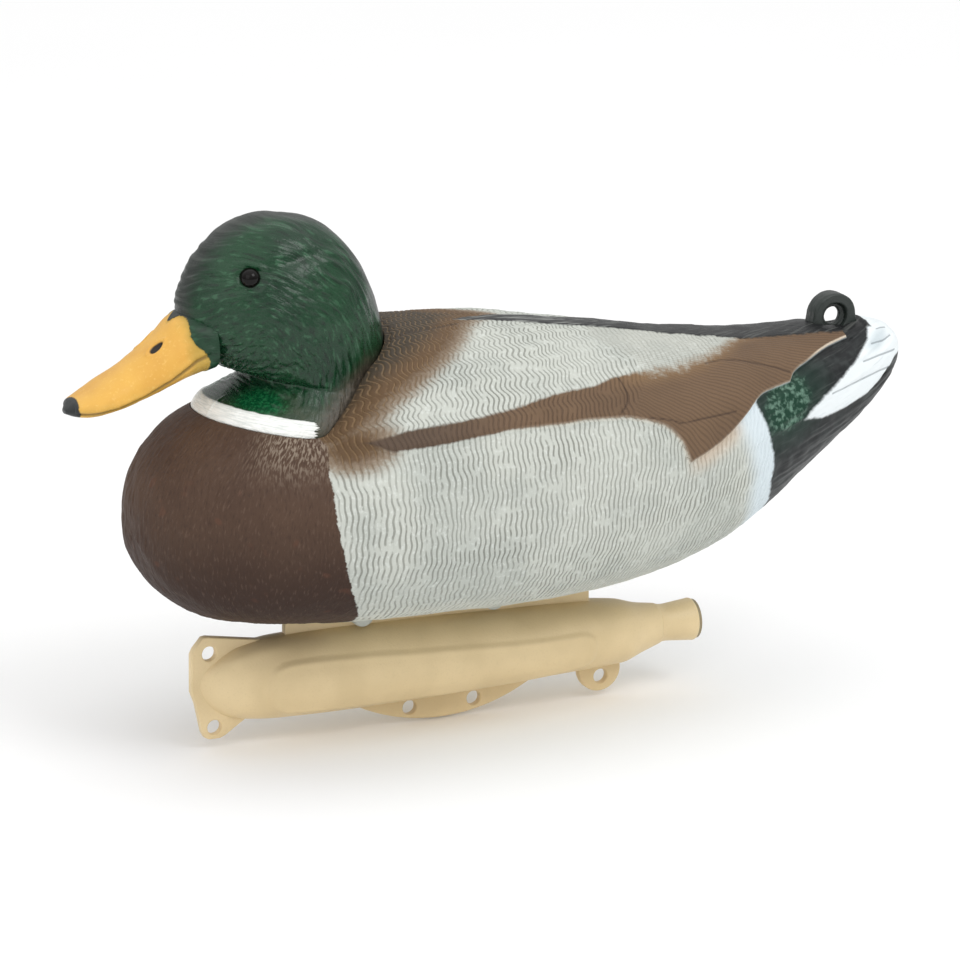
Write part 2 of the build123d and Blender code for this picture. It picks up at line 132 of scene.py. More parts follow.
def noise(points, size, seed=0):
    """Smooth noise from -1 to 1, with bumps about the given size, in millimetres."""
    q = np.asarray(points, float) / size
    cell = np.floor(q).astype(np.int64)
    f = q - cell
    f = f * f * (3 - 2 * f)
    total = 0
    for i in (0, 1):
        for j in (0, 1):
            for k in (0, 1):
                share = (np.where(i, f[..., 0], 1 - f[..., 0]) * np.where(j, f[..., 1], 1 - f[..., 1])
                         * np.where(k, f[..., 2], 1 - f[..., 2]))
                total = total + share * lattice(cell + np.array((i, j, k)), seed)
    return 2 * total - 1


def flat(a, b):
    """Two fields as points for noise()."""
    return np.stack([a, b, np.zeros_like(a)], -1)


def apart(a, b, line):
    """How far each point (a, b) is from a line of points."""
    best = np.full(a.shape, 1e9)
    for (a0, b0), (a1, b1) in zip(line, line[1:]):
        da, db = a1 - a0, b1 - b0
        t = np.clip(((a - a0) * da + (b - b0) * db) / (da * da + db * db + 1e-12), 0, 1)
        best = np.minimum(best, (a - a0 - t * da) ** 2 + (b - b0 - t * db) ** 2)
    return np.sqrt(best)


def within(a, b, line):
    """Whether each point (a, b) is inside a closed line of points."""
    inside = np.zeros(a.shape, bool)
    for (a0, b0), (a1, b1) in zip(line, list(line[1:]) + [line[0]]):
        if b0 != b1:
            inside ^= ((b0 > b) != (b1 > b)) & (a < (a1 - a0) * (b - b0) / (b1 - b0) + a0)
    return inside


def neck_place(points):
    """Forward, sideways and upward distances from the neck seam's centre."""
    d = points - NECK
    return d @ NECK_U, d[..., 1], d @ NECK_A


def neck_point(u, y, s):
    return NECK + u[..., None] * NECK_U + s[..., None] * NECK_A + y[..., None] * np.array((0, 1, 0))


# ---- mesh making --------------------------------------------------------------------------------
def oval_grid(table, rows, columns, square):
    """Points on ovals along X, from the bottom of each round by +Y. Also each column's angle."""
    sections = faired(table, np.linspace(0, 1, rows))
    turn = np.linspace(-math.pi / 2, 3 * math.pi / 2, columns, endpoint=False)
    c, s = np.cos(turn), np.sin(turn)
    power = np.where(s >= 0, 2 / square[0], 2 / square[1])
    x, half, wide, top, bottom = (sections[:, k, None] for k in range(5))
    reach = np.where(s >= 0, top - wide, wide - bottom)
    points = np.stack([x + 0 * c, half * np.sign(c) * abs(c) ** power,
                       wide + reach * np.sign(s) * abs(s) ** power], -1)
    return points, turn


def normals(points):
    """Outward normals of a grid that closes round its columns."""
    around = np.roll(points, -1, 1) - np.roll(points, 1, 1)
    along = np.gradient(points, axis=0)
    n = np.cross(around, along)
    n /= np.linalg.norm(n, axis=-1, keepdims=True) + 1e-12
    outward = ((points - points.mean(1, keepdims=True)) * n).sum(-1)
    return n if outward.mean() > 0 else -n


def grid_faces(rows, columns):
    i, j = np.meshgrid(np.arange(rows - 1), np.arange(columns), indexing="ij")
    k = (j + 1) % columns
    return np.stack([i * columns + j, i * columns + k, (i + 1) * columns + k, (i + 1) * columns + j],
                    -1).reshape(-1, 4)


def ring_faces(rows, columns):
    """The faces of a grid whose last row also joins its first, as a tube bent into a ring."""
    last = (rows - 1) * columns
    closing = [[last + j, last + (j + 1) % columns, (j + 1) % columns, j] for j in range(columns)]
    return grid_faces(rows, columns).tolist() + closing


def new_piece(name, points, faces, body, material, fields=None):
    """A smooth mesh that rides on a body, with one number a point for each named field."""
    mesh = bpy.data.meshes.new(name)
    mesh.from_pydata((np.asarray(points, float) * MM).tolist(), [], [list(map(int, f)) for f in faces])
    mesh.update()
    for key, values in (fields or {}).items():
        mesh.attributes.new(key, "FLOAT", "POINT").data.foreach_set(
            "value", np.asarray(values, np.float32).ravel())
    mesh.shade_smooth()
    piece = bpy.data.objects.new(name, mesh)
    bpy.context.scene.collection.objects.link(piece)
    piece.data.materials.append(material)
    turn_outward(piece)
    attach(piece, body)
    return piece


def turn_outward(piece):
    """Turns every face outward."""
    work = bmesh.new()
    work.from_mesh(piece.data)
    bmesh.ops.recalc_face_normals(work, faces=work.faces)
    work.to_mesh(piece.data)
    work.free()


def capped(points, fields):
    """A grid's points with a middle point added at each end, and the faces that close it."""
    rows, columns = points.shape[:2]
    last = rows * columns
    faces = [list(f) for f in grid_faces(rows, columns)]
    for j in range(columns):
        k = (j + 1) % columns
        faces.append([j, k, last])
        faces.append([last - columns + j, last - columns + k, last + 1])
    flat_points = np.vstack([points.reshape(-1, 3), points[0].mean(0), points[-1].mean(0)])
    flat_fields = {key: np.r_[v.ravel(), v[0].mean(), v[-1].mean()] for key, v in fields.items()}
    return flat_points, faces, flat_fields


def lathe(profile, centre, axis, segments):
    """Rings of points from (radius, distance along the axis) pairs, as a grid closed round its columns."""
    turn = np.linspace(0, 2 * math.pi, segments, endpoint=False)
    points = np.zeros((len(profile), segments, 3))
    others = [k for k in range(3) if k != axis]
    for i, (radius, along) in enumerate(profile):
        points[i, :, axis] = along
        points[i, :, others[0]] = centre[others[0]] + radius * np.cos(turn)
        points[i, :, others[1]] = centre[others[1]] + radius * np.sin(turn)
    return points


# ---- materials ----------------------------------------------------------------------------------
def ink(red, green, blue):
    """A linear colour from the 0 to 255 values of a paint chart."""
    def linear(value):
        value /= 255
        return value / 12.92 if value <= 0.04045 else ((value + 0.055) / 1.055) ** 2.4
    return (linear(red), linear(green), linear(blue), 1)


class Paint:
    """One procedural material, built a node at a time."""

    def __init__(self, name, roughness, **settings):
        self.material = bpy.data.materials.new(name)
        self.material.use_nodes = True
        self.tree = self.material.node_tree
        self.shader = self.tree.nodes["Principled BSDF"]
        self.place = self.node("ShaderNodeTexCoord").outputs["Object"]
        self.set("Roughness", roughness)
        for key, value in settings.items():
            self.set(key.replace("_", " "), value)

    def node(self, kind, **settings):
        made = self.tree.nodes.new(kind)
        for key, value in settings.items():
            setattr(made, key, value)
        return made

    def plug(self, socket, value):
        if isinstance(value, bpy.types.NodeSocket):
            self.tree.links.new(value, socket)
        else:
            socket.default_value = value

    def set(self, socket, value):
        self.plug(self.shader.inputs[socket], value)

    def field(self, name):
        return self.node("ShaderNodeAttribute", attribute_name=name).outputs["Fac"]

    def math(self, operation, a, b=0.0, clamp=False):
        made = self.node("ShaderNodeMath", operation=operation, use_clamp=clamp)
        self.plug(made.inputs[0], a)
        self.plug(made.inputs[1], b)
        return made.outputs[0]

    def add(self, a, b):
        return self.math("ADD", a, b)

    def times(self, a, b):
        return self.math("MULTIPLY", a, b)

    def step(self, value, low, high):
        """0 below low, 1 above high, smooth between."""
        made = self.node("ShaderNodeMapRange", interpolation_type="SMOOTHSTEP")
        self.plug(made.inputs["Value"], value)
        made.inputs["From Min"].default_value = low
        made.inputs["From Max"].default_value = high
        return made.outputs["Result"]

    def join(self, x, y, z=0.0):
        made = self.node("ShaderNodeCombineXYZ")
        for socket, value in zip(made.inputs, (x, y, z)):
            self.plug(socket, value)
        return made.outputs[0]

    def noise(self, size, detail=2.0, at=None, unit=MM):
        """Noise from 0 to 1 with bumps of about this size in millimetres."""
        made = self.node("ShaderNodeTexNoise")
        self.plug(made.inputs["Vector"], at if at is not None else self.place)
        made.inputs["Scale"].default_value = 1 / (size * unit)
        made.inputs["Detail"].default_value = detail
        return made.outputs["Fac"]

    def mix(self, share, a, b):
        made = self.node("ShaderNodeMix", data_type="RGBA")
        self.plug(made.inputs[0], share)
        self.plug(made.inputs[6], a)
        self.plug(made.inputs[7], b)
        return made.outputs[2]

    def lay(self, base, colour, *shares):
        """A colour laid over a base by the product of the shares."""
        share = shares[0]
        for other in shares[1:]:
            share = self.times(share, other)
        return self.mix(share, base, colour)

    def swing(self, noise, size):
        """Noise from 0 to 1 turned into one about zero, this much from end to end."""
        return self.times(self.add(noise, -0.5), size)

    def brushed(self, first, second, size=1.0, detail=2):
        """Noise drawn out into brush strokes: two fields, each with how finely the noise follows it."""
        x, y = (self.times(self.field(name), share) for name, share in (first, second))
        return self.noise(size, detail, self.join(x, y), 1.0)

    def bump(self, height, distance, strength=1.0):
        """Bump from a height of 0 to 1 that stands for this many millimetres."""
        made = self.node("ShaderNodeBump")
        made.inputs["Strength"].default_value = strength
        made.inputs["Distance"].default_value = distance * MM
        self.plug(made.inputs["Height"], height)
        self.plug(self.shader.inputs["Normal"], made.outputs[0])


def ridges(paint, turns, sharp_low, sharp_high):
    """Thin lines where a field of turns passes each whole number: 1 on the line and 0 between."""
    wave = paint.math("COSINE", paint.times(turns, 2 * math.pi))
    return paint.step(wave, sharp_low, sharp_high)


def body_material():
    p = Paint("body_paint", 0.6, Specular_IOR_Level=0.2)
    fine, rough, broad = p.noise(1.6, 3), p.noise(5, 3), p.noise(28, 2)
    ragged = p.add(p.swing(rough, 3.0), p.swing(fine, 2.4))

    def region(name, soft, wander):
        """1 inside a painted region, with an edge this soft that wanders with the brush."""
        return p.step(p.add(p.field(name), p.times(ragged, wander)), -soft, soft)

    # light grey flanks and scapulars, with dark wavy grooves
    lines = ridges(p, p.field("lines"), 0.30, 0.92)
    broken = p.step(p.noise(5, 2), 0.32, 0.48)
    groove = p.times(p.times(lines, broken), p.field("line_depth"))
    grey = p.mix(p.step(broad, 0.35, 0.7), ink(197, 200, 192), ink(184, 188, 181))
    grey = p.lay(grey, ink(222, 226, 221), p.step(fine, 0.5, 0.75), 0.5)
    colour = p.lay(grey, ink(116, 117, 108), groove, 0.75)
    barbs = p.times(ridges(p, p.field("barbs"), -0.1, 0.95), p.field("wing_rear"))
    colour = p.lay(colour, ink(150, 140, 124), barbs, 0.3)
    # golden-brown shading behind the neck, darker towards it
    speck = p.add(p.field("gold"), p.swing(fine, 7.0))
    colour = p.lay(colour, ink(122, 96, 68), p.step(speck, -8, 0), 0.8)
    colour = p.lay(colour, ink(100, 78, 56), p.step(speck, -2, 5))
    colour = p.lay(colour, ink(68, 60, 50), p.step(speck, 6, 18))
    colour = p.lay(colour, ink(168, 140, 104), groove, p.step(speck, -2, 4), 0.35)
    # brown stripe that widens into the folded wing
    brown = p.mix(p.step(broad, 0.3, 0.7), ink(116, 93, 72), ink(106, 85, 66))
    brown = p.lay(brown, ink(68, 54, 45), groove, 0.6)
    brown = p.lay(brown, ink(82, 66, 53), barbs, 0.42)
    brown = p.lay(brown, ink(82, 69, 60), p.step(p.field("forward"), 0, 75), 0.75)
    brown = p.lay(brown, ink(140, 112, 80), p.field("gilt"), 0.65)
    folded = p.times(region("wing", 0.5, 0.35), region("brown", 0.8, 0.55))
    colour = p.lay(colour, brown, folded)
    colour = p.lay(colour, ink(66, 52, 44), p.step(p.field("quills"), 0.75, 0.2), folded, 0.6)
    # pale lip along the wing's lower edge, and a warm fringe under its rear
    wing = p.field("wing")
    lip = p.step(p.math("ABSOLUTE", wing), 1.3, 0.3)
    colour = p.lay(colour, ink(222, 208, 188), lip, p.field("lip"))
    from_fringe = p.math("ABSOLUTE", p.add(p.field("forward"), 84))
    fringe = p.times(p.step(wing, -10, 0), p.step(from_fringe, 24, 10))
    colour = p.lay(colour, ink(202, 176, 150), fringe, p.step(wing, 0.4, -0.4), 0.6)
    # chocolate breast, darkened low down and towards the keel as painted shade
    strokes = p.brushed(("across", 1.0), ("along", 0.27))
    chest = region("breast", 0.4, 0.8)
    breast = p.mix(p.step(broad, 0.3, 0.75), ink(86, 66, 53), ink(76, 57, 46))
    # painted shade: the breast darker towards the bottom
    breast = p.lay(breast, ink(52, 36, 29), p.step(p.field("up"), 130, 68))
    breast = p.lay(breast, ink(112, 92, 80), p.step(strokes, 0.56, 0.72), 0.3)
    breast = p.lay(breast, ink(54, 40, 34), p.step(strokes, 0.44, 0.3), 0.4)
    breast = p.lay(breast, ink(124, 76, 56), p.step(p.noise(9, 1), 0.68, 0.76), 0.16)
    # painted highlight: pale tan on the crests of the strokes at the shoulder, below the white ring's end
    breast = p.lay(breast, ink(156, 142, 126), p.field("bib_highlight"), p.step(strokes, 0.46, 0.6), 0.75)
    # painted shade: darker again under the body, towards the keel
    breast = p.lay(breast, ink(60, 44, 38), p.step(p.field("keelward"), 34, 52))
    colour = p.lay(colour, breast, chest)
    # blue-white band, black rump, speckled green, white tail
    colour = p.lay(colour, ink(212, 223, 228), p.step(p.field("band"), -9, 3), p.step(wing, 0.3, -0.3))
    black = p.mix(p.step(rough, 0.4, 0.7), ink(34, 36, 37), ink(50, 54, 54))
    streaks = p.brushed(("forward", 0.06), ("round", 0.7))
    black = p.lay(black, ink(82, 86, 84), p.step(streaks, 0.55, 0.72), 0.5)
    sheen = p.mix(p.step(p.noise(2.6, 3), 0.42, 0.66), ink(24, 66, 46), ink(150, 190, 168))
    black = p.lay(black, sheen, p.step(p.add(p.field("sheen"), p.times(ragged, 1.4)), -2, 3))
    black = p.lay(black, ink(24, 52, 42), p.step(p.field("sheen"), -16, 0), 0.6)
    tail = p.mix(p.step(p.field("feather"), 0.35, 0.8), ink(232, 238, 240), ink(206, 216, 220))
    tail = p.lay(tail, ink(170, 180, 186), p.step(streaks, 0.62, 0.74), 0.25)
    tail = p.lay(tail, ink(112, 120, 126), p.step(p.field("quills"), 0.6, 0.1), 0.65)
    black = p.lay(black, tail, region("white_tail", 0.9, 0.5))
    rump = p.times(region("rump", 0.9, 0.6), p.step(wing, 0.5, -0.5))
    colour = p.lay(colour, black, rump)
    # black stripe along the back, and painted shade in the crease beside it
    stripe = p.mix(p.step(streaks, 0.5, 0.68), ink(34, 35, 36), ink(74, 76, 74))
    worn = p.times(p.step(streaks, 0.52, 0.6), p.step(p.field("forward"), -70, -20))
    back = region("stripe", 0.7, 0.6)
    colour = p.lay(colour, p.lay(stripe, ink(128, 130, 126), worn), back)
    # painted shade: the crease beside the stripe darkened
    colour = p.lay(colour, ink(70, 60, 52), p.step(p.field("crest_line"), 1.3, 0.4), 0.6)
    p.set("Base Color", colour)
    glossy = p.math("MAXIMUM", p.times(rump, 0.8), back)
    p.set("Roughness", p.add(p.add(0.6, p.times(glossy, -0.22)), p.swing(fine, 0.16)))
    relief = p.add(p.times(groove, -1.0), p.times(barbs, -0.45))
    relief = p.add(relief, p.times(p.times(strokes, chest), 1.1))
    p.bump(p.add(relief, p.times(fine, 0.22)), 0.35, 0.8)
    return p.material


def head_material():
    p = Paint("head_paint", 0.3, Specular_IOR_Level=0.34)
    fine, rough, broad = p.noise(1.4, 3), p.noise(5, 3), p.noise(24, 2)
    ragged = p.add(p.swing(rough, 3.0), p.swing(fine, 2.6))
    strokes = p.brushed(("across", 0.62), ("along", 0.16), detail=2.5)
    green = p.mix(p.step(broad, 0.3, 0.7), ink(20, 62, 36), ink(14, 50, 30))
    # painted highlight: paler green on the strokes' crests, glints of the glossy feathers
    green = p.lay(green, ink(58, 100, 72), p.step(strokes, 0.56, 0.68), 0.55)
    green = p.lay(green, ink(7, 28, 17), p.step(strokes, 0.46, 0.34), 0.6)
    dark = p.mix(p.step(strokes, 0.5, 0.7), ink(40, 46, 42), ink(58, 62, 58))
    colour = p.lay(green, dark, p.step(p.add(p.field("crown"), ragged), -3, 7))
    # painted shade under the chin and down the throat, glossy green patch beside it
    shade = p.mix(p.step(rough, 0.35, 0.7), ink(38, 58, 38), ink(54, 66, 46))
    colour = p.lay(colour, shade, p.step(p.add(p.field("low"), ragged), 3, 14))
    patch = p.mix(p.step(fine, 0.4, 0.7), ink(6, 66, 36), ink(26, 100, 58))
    colour = p.lay(colour, patch, p.step(p.add(p.field("patch"), p.times(ragged, 0.8)), -2, 4))
    # brown-grey overspray where the neck meets the back
    spray = p.step(p.add(p.field("spray"), p.times(ragged, 0.8)), -4, 9)
    colour = p.lay(colour, p.mix(p.step(fine, 0.4, 0.7), ink(72, 65, 55), ink(88, 79, 66)), spray)
    # white ring with a ragged brush end
    bristles = p.brushed(("rise", 1.0), ("round", 0.12), size=0.8)
    ring = p.times(p.step(p.add(p.field("ring_top"), p.swing(rough, 0.9)), -0.25, 0.25),
                   p.step(p.add(p.field("ring_end"), p.swing(bristles, 9.0)), -0.5, 0.5))
    hairs = p.brushed(("round", 0.12), ("rise", 1.6))
    white = p.mix(p.step(hairs, 0.4, 0.7), ink(250, 251, 247), ink(222, 226, 222))
    p.set("Base Color", p.lay(colour, white, ring))
    matt = p.math("MAXIMUM", p.math("MAXIMUM", ring, spray), p.times(p.step(p.field("crown"), -3, 7), 0.7))
    p.set("Roughness", p.add(p.add(0.27, p.times(matt, 0.25)), p.swing(fine, 0.2)))
    p.set("Coat Weight", 0.12)
    p.set("Coat Roughness", 0.2)
    p.bump(p.add(strokes, p.times(fine, 0.2)), 0.7, 1.0)
    return p.material


def bill_material():
    p = Paint("bill_paint", 0.45, Specular_IOR_Level=0.4)
    fine, rough, broad = p.noise(1.2, 3), p.noise(4, 3), p.noise(16, 2)
    colour = p.mix(p.step(broad, 0.3, 0.7), ink(230, 178, 82), ink(220, 165, 74))
    colour = p.lay(colour, ink(244, 206, 120), p.step(fine, 0.55, 0.75), 0.4)
    olive = p.step(p.add(p.field("olive"), p.swing(rough, 4.0)), -2, 5)
    colour = p.lay(colour, ink(176, 148, 64), olive, 0.75)
    colour = p.lay(colour, ink(118, 92, 44), p.step(p.field("mouth"), 1.2, 0.2), 0.75)
    colour = p.lay(colour, ink(38, 42, 42), p.step(p.add(p.field("nail"), p.swing(fine, 0.8)), -0.3, 0.3))
    colour = p.lay(colour, ink(30, 24, 20), p.step(p.field("nostril"), -0.25, 0.25))
    # the head's green feathers over the bill's root, with an olive shadow in front of them
    tufts = p.add(p.field("feathered"), p.swing(fine, 1.6))
    covered = p.step(tufts, -0.3, 0.3)
    strokes = p.brushed(("across", 0.62), ("along", 0.16), detail=2.5)
    # painted highlight: paler green on the strokes' crests, like the head's glints
    plumes = p.lay(ink(16, 54, 32), ink(50, 90, 64), p.step(strokes, 0.52, 0.68), 0.5)
    plumes = p.lay(plumes, ink(7, 28, 17), p.step(strokes, 0.46, 0.32), 0.6)
    plumes = p.lay(plumes, ink(40, 46, 43), p.step(p.field("brow"), -2, 3))
    colour = p.lay(colour, ink(176, 150, 66), p.step(tufts, -1.6, 0), 0.5)
    p.set("Base Color", p.lay(colour, plumes, covered))
    p.set("Roughness", p.add(0.42, p.swing(fine, 0.2)))
    skin = p.add(p.times(rough, 0.7), p.times(fine, 0.3))
    p.bump(p.add(skin, p.times(p.times(strokes, covered), 2.0)), 0.25, 0.6)
    return p.material


# how much darker than the two tints a plastic's grain is, out of 255
GRAIN_SHADE = 14


def plastic(name, first, second, roughness, grain=0.9, depth=0.12, **settings):
    """A moulded plastic: two close tints, a fine grain and a little variation in gloss."""
    p = Paint(name, roughness, **settings)
    fine, broad = p.noise(grain, 3), p.noise(22, 2)
    colour = p.mix(p.step(broad, 0.3, 0.7), ink(*first), ink(*second))
    darker = [round((a + b) / 2) - GRAIN_SHADE for a, b in zip(first, second)]
    p.set("Base Color", p.lay(colour, ink(*darker), p.step(fine, 0.5, 0.8), 0.35))
    p.set("Roughness", p.add(roughness, p.swing(fine, 0.18)))
    p.bump(fine, depth, 0.5)
    return p.material


BODY_PAINT, HEAD_PAINT, BILL_PAINT = body_material(), head_material(), bill_material()
KEEL_PLASTIC = plastic("keel_plastic", (232, 209, 164), (222, 199, 154), 0.42, Specular_IOR_Level=0.45)
RING_PAINT = plastic("ring_paint", (40, 46, 43), (30, 40, 36), 0.4, 1.6, 0.5)
LUG_PAINT = plastic("lug_paint", (196, 200, 194), (180, 184, 178), 0.55)
EYE_GLASS = plastic("eye_glass", (9, 6, 5), (5, 4, 4), 0.05, 2.0, 0.0, Specular_IOR_Level=0.2)
PLUG_PLASTIC = plastic("plug_plastic", (150, 136, 106), (138, 126, 98), 0.5)
SAND = plastic("ballast_sand", (172, 150, 112), (140, 118, 86), 0.9, 0.7, 0.6)
NODE_LOOKS = {"blow_plug": PLUG_PLASTIC, "eye_left": EYE_GLASS, "eye_right": EYE_GLASS,
              "neck_lock_ring": PLUG_PLASTIC, "keel_ballast": SAND, "spout_plug": PLUG_PLASTIC,
              "keel_pins": PLUG_PLASTIC}
for node_name, look in NODE_LOOKS.items():
    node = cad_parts[node_name]
    node.data.materials.clear()
    node.data.materials.append(look)
    if node_name.startswith("eye"):
        node.data.shade_smooth()

# ---- body ---------------------------------------------------------------------------------------
# Lines on the flank: x and the section angle, from 0 on the widest line to 90 on the back.
WING_FRONT, WING_REAR = 99.5, -167.1
WING_EDGE_FRONT = [(WING_FRONT, 50), (93, 45), (86, 39.5), (74.4, 28.7), (56.7, 27.3), (38, 28.2), (19, 29.5),
                   (-0.4, 29.6), (-16, 30.6), (-31.4, 30.5), (-43.8, 28), (-54.2, 23.5), (-60.9, 15.5),
                   (-64.4, 6)]
WING_EDGE_MIDDLE = [(-64.4, 6), (-74.2, 8.2), (-85.3, 12.1), (-97.7, 19.7), (-112.9, 30.5), (-127.9, 31.5)]
WING_EDGE_REAR = [(-127.9, 31.5), (-131.1, 37.5), (-142, 44), (-151.2, 49.8), (WING_REAR, 57)]
BROWN_TOP = [(92, 43), (86.1, 39.5), (70.5, 34.6), (51.7, 34), (16.5, 37.2), (-4.8, 41.9), (-21.2, 44.2),
             (-37, 48.9), (-52.1, 50.6), (-63.5, 52), (-83.6, 57.6), (-99.7, 66.1), (-112.6, 77), (-130, 85),
             (-170, 86)]
GOLD_REAR = 2
GOLD_EDGE = [(GOLD_REAR, 90), (10, 86), (19, 81), (32.6, 68), (44.2, 59.6), (59.6, 51.6), (72.9, 46.9),
             (82.3, 44.4), (90.8, 45), (WING_FRONT, 49)]
BREAST_EDGE = [(104, 60), (99.5, 50), (101.5, 40), (103, 31.5), (103.6, 11.3), (101, -6.2), (96.3, -22.5),
               (88.2, -47.2), (84, -90)]
BAND_REAR = [(-121, -90), (-119, -45), (-115.5, -21.6), (-115.8, -12.9), (-113, -1), (-107, 24), (-103, 60)]
WHITE_TAIL = [(-181, 90), (-202, 90), (-202, 2), (-191.5, 0), (-187.6, -4), (-181.6, -9), (-172.7, -12),
              (-158, -8), (-144.7, -4.5), (-132.8, 0.7), (-143, 8), (-157, 17), (-167, 28), (-175.7, 44),
              (-179.5, 62)]
# dark lines between the long feathers of the tail, then of the wing
QUILLS = [[(-190, 62), (-184, 58)], [(-191, 43), (-184, 37), (-177.6, 38)],
          [(-191, 13), (-180, 20), (-170.7, 22.3)], [(-186, -4), (-177.6, 2.5), (-165, 6.5), (-150, 8.5)],
          [(-45, 29), (-56, 26.5), (-63.5, 23.9), (-73.9, 24.5), (-93, 24.1)],
          [(-86, 55), (-95.5, 56.7), (-103, 55.7), (-118.4, 47.9), (-128.9, 38.5)],
          [(-36, 50), (-37.6, 40.9), (-35.8, 35.9), (-31.4, 32.1)]]
CREST = [(24, 81), (38, 78.5), (53.4, 76.6), (63, 76)]
# x, centre line and half width of the black stripe, which leans to the duck's left at its front
STRIPE = np.array([(-176, 0, 10), (-160, 0, 13), (-145, 0, 12.6), (-116, 0, 13), (-92, -1, 11.5),
                   (-73, 0.5, 9), (-52, 1.5, 8.3), (-27, 3, 8), (0, 7, 6), (12, 7.8, 3.4), (24, 8.3, 0.3)])
# where the stripe ends, and the height that it stays above
STRIPE_REAR, STRIPE_FRONT, STRIPE_LOW = -181.5, 24, 140
# the pierced ring on the tail: x and height of its centre
TAIL_RING = (-167, 163.5)

ROWS, COLUMNS = 1040, 340
base, turn = oval_grid(BODY, ROWS, COLUMNS, BODY_SQUARE)
x, y, z = base[..., 0], base[..., 1], base[..., 2]
angle = np.degrees(np.arcsin(np.clip(np.sin(turn), -1, 1)))
# v is the distance round the section, up from the widest line, the same on both sides
half_count = COLUMNS // 2
lengths = np.linalg.norm(np.diff(base[:, :half_count + 1], axis=1), axis=-1)
climb = np.concatenate([np.zeros((ROWS, 1)), np.cumsum(lengths, 1)], 1)
climb -= climb[:, half_count // 2][:, None]
fold = np.minimum(np.arange(COLUMNS), COLUMNS - np.arange(COLUMNS))
v = climb[:, fold]
half_angle = angle[:half_count + 1]
angle = np.broadcast_to(angle, x.shape)


def at_angle(px, section_angle):
    """How far up the section at px a section angle is, as v."""
    return float(np.interp(section_angle, half_angle, climb[int(abs(x[:, 0] - px).argmin())]))


def on_flank(line, count=60):
    """A line given by x and section angle, as points (x, v)."""
    return [(px, at_angle(px, pa)) for px, pa in faired(line, np.linspace(0, 1, count))]


def signed(line, inside):
    """Distance to a line on the flank, positive inside and negative outside."""
    return apart(x, v, line) * np.where(inside, 1, -1)


def table_at(line, key):
    """The second number of a line's points, read off where the first is the key."""
    return np.interp(key, *zip(*sorted(line)))


def swapped(line):
    return [(b, a) for a, b in line]


wing_line = on_flank(WING_EDGE_FRONT, 70) + on_flank(WING_EDGE_MIDDLE, 30) + on_flank(WING_EDGE_REAR, 20)
wing_inside = (v > table_at(wing_line, x)) & (x > WING_REAR) & (x < WING_FRONT)
wing = signed(wing_line, wing_inside)
brown_line = on_flank(BROWN_TOP)
brown = signed(brown_line, v < table_at(brown_line, x))
gold_line = on_flank(GOLD_EDGE)
gold = signed(gold_line, (v > table_at(gold_line, x)) & (x > GOLD_REAR))
breast_line = on_flank(BREAST_EDGE)
breast = signed(breast_line, x > table_at(swapped(breast_line), v))
rear_line = on_flank(BAND_REAR)
rump = signed(rear_line, x < table_at(swapped(rear_line), v))
# the white tail has corners, and it runs over the back without a line there
OVER_BACK = 30
tail_line = [(px, at_angle(px, pa) + (OVER_BACK if pa == 90 else 0)) for px, pa in WHITE_TAIL]
white_tail = signed(tail_line + tail_line[:1], within(x, v, tail_line))
quills = np.min([apart(x, v, on_flank(line, 16)) for line in QUILLS], axis=0)
# golden shading also surrounds the front tip of the brown stripe
tip_x, tip_v = on_flank([(93, 43), (88, 40)], 3)[1]
gold = np.maximum(gold, 9 - np.hypot((x - tip_x) * 0.75, v - tip_v))
crest_line = apart(x, v, on_flank(CREST, 20))
centre_y, half_stripe = (np.interp(x, STRIPE[:, 0], STRIPE[:, k]) for k in (1, 2))
stripe = half_stripe - abs(y - centre_y)
on_back = (z > STRIPE_LOW) & (x < STRIPE_FRONT)
stripe = np.where(on_back, np.minimum(stripe, x - STRIPE_REAR), -9.0)

neck_u, neck_y, neck_s = neck_place(base)
neck_r = np.hypot(neck_u, neck_y)
# strokes fan out from the neck: one number round it and one away from it
FAN_CENTRE, FAN_REACH = np.array((95.0, 0.0, 100.0)), 70.0
fan = base - FAN_CENTRE
fan_u, fan_a = fan @ NECK_U, fan @ NECK_A
fan_across = np.arctan2(y, fan_u) * FAN_REACH + 2.4 * noise(base, 17, 18)
fan_along = np.arctan2(np.hypot(fan_u, y), fan_a) * FAN_REACH

# wavy grooves, close to upright, that lean with the feather rows
GROOVE_PITCH, ROW_HEIGHT = 2.4, 8.5
wander = noise(flat(x, v), 15, 3) * 1.4 + noise(flat(x, v), 6, 4) * 0.5
zigzag_size = 0.3 + 0.75 * ease(2, 10, wing) * ease(-60, 0, x)
zig = np.sin(2 * math.pi * (v + 2.5 * noise(flat(x, v), 22, 9)) / ROW_HEIGHT)
sweep = 0.22 * (v - 20) * ease(30, -70, x) * (wing < 0)
lines = (x + wander + zigzag_size * zig + sweep) / GROOVE_PITCH
feather = noise(flat(x, v * 2), 26, 12)
line_depth = 0.75 + 0.25 * feather
line_depth = line_depth * (1 - ease(-4, 2, breast)) * (1 - ease(-3, 3, rump)) * (1 - ease(-1, 1, stripe))
wing_rear = ease(3, -3, x + 44 + 7 * np.cos(v / 9)) * ease(0, 1, wing)
line_depth = line_depth * (1 - wing_rear * (0.55 + 0.45 * ease(-2, 2, brown)))
# fine barbs slant over the rear of the wing in gentle arcs
BARB_PITCH = 1.5
barbs = (0.82 * v + 0.006 * (v - 40) ** 2 - 0.57 * x + 1.6 * noise(flat(x, v), 20, 15)
         + 0.35 * noise(flat(x, v), 5, 16)) / BARB_PITCH
# the brown's upper edge is hard at the front and sprayed softly at the rear
airbrushed = 1 + 4.5 * ease(-38, -62, x)
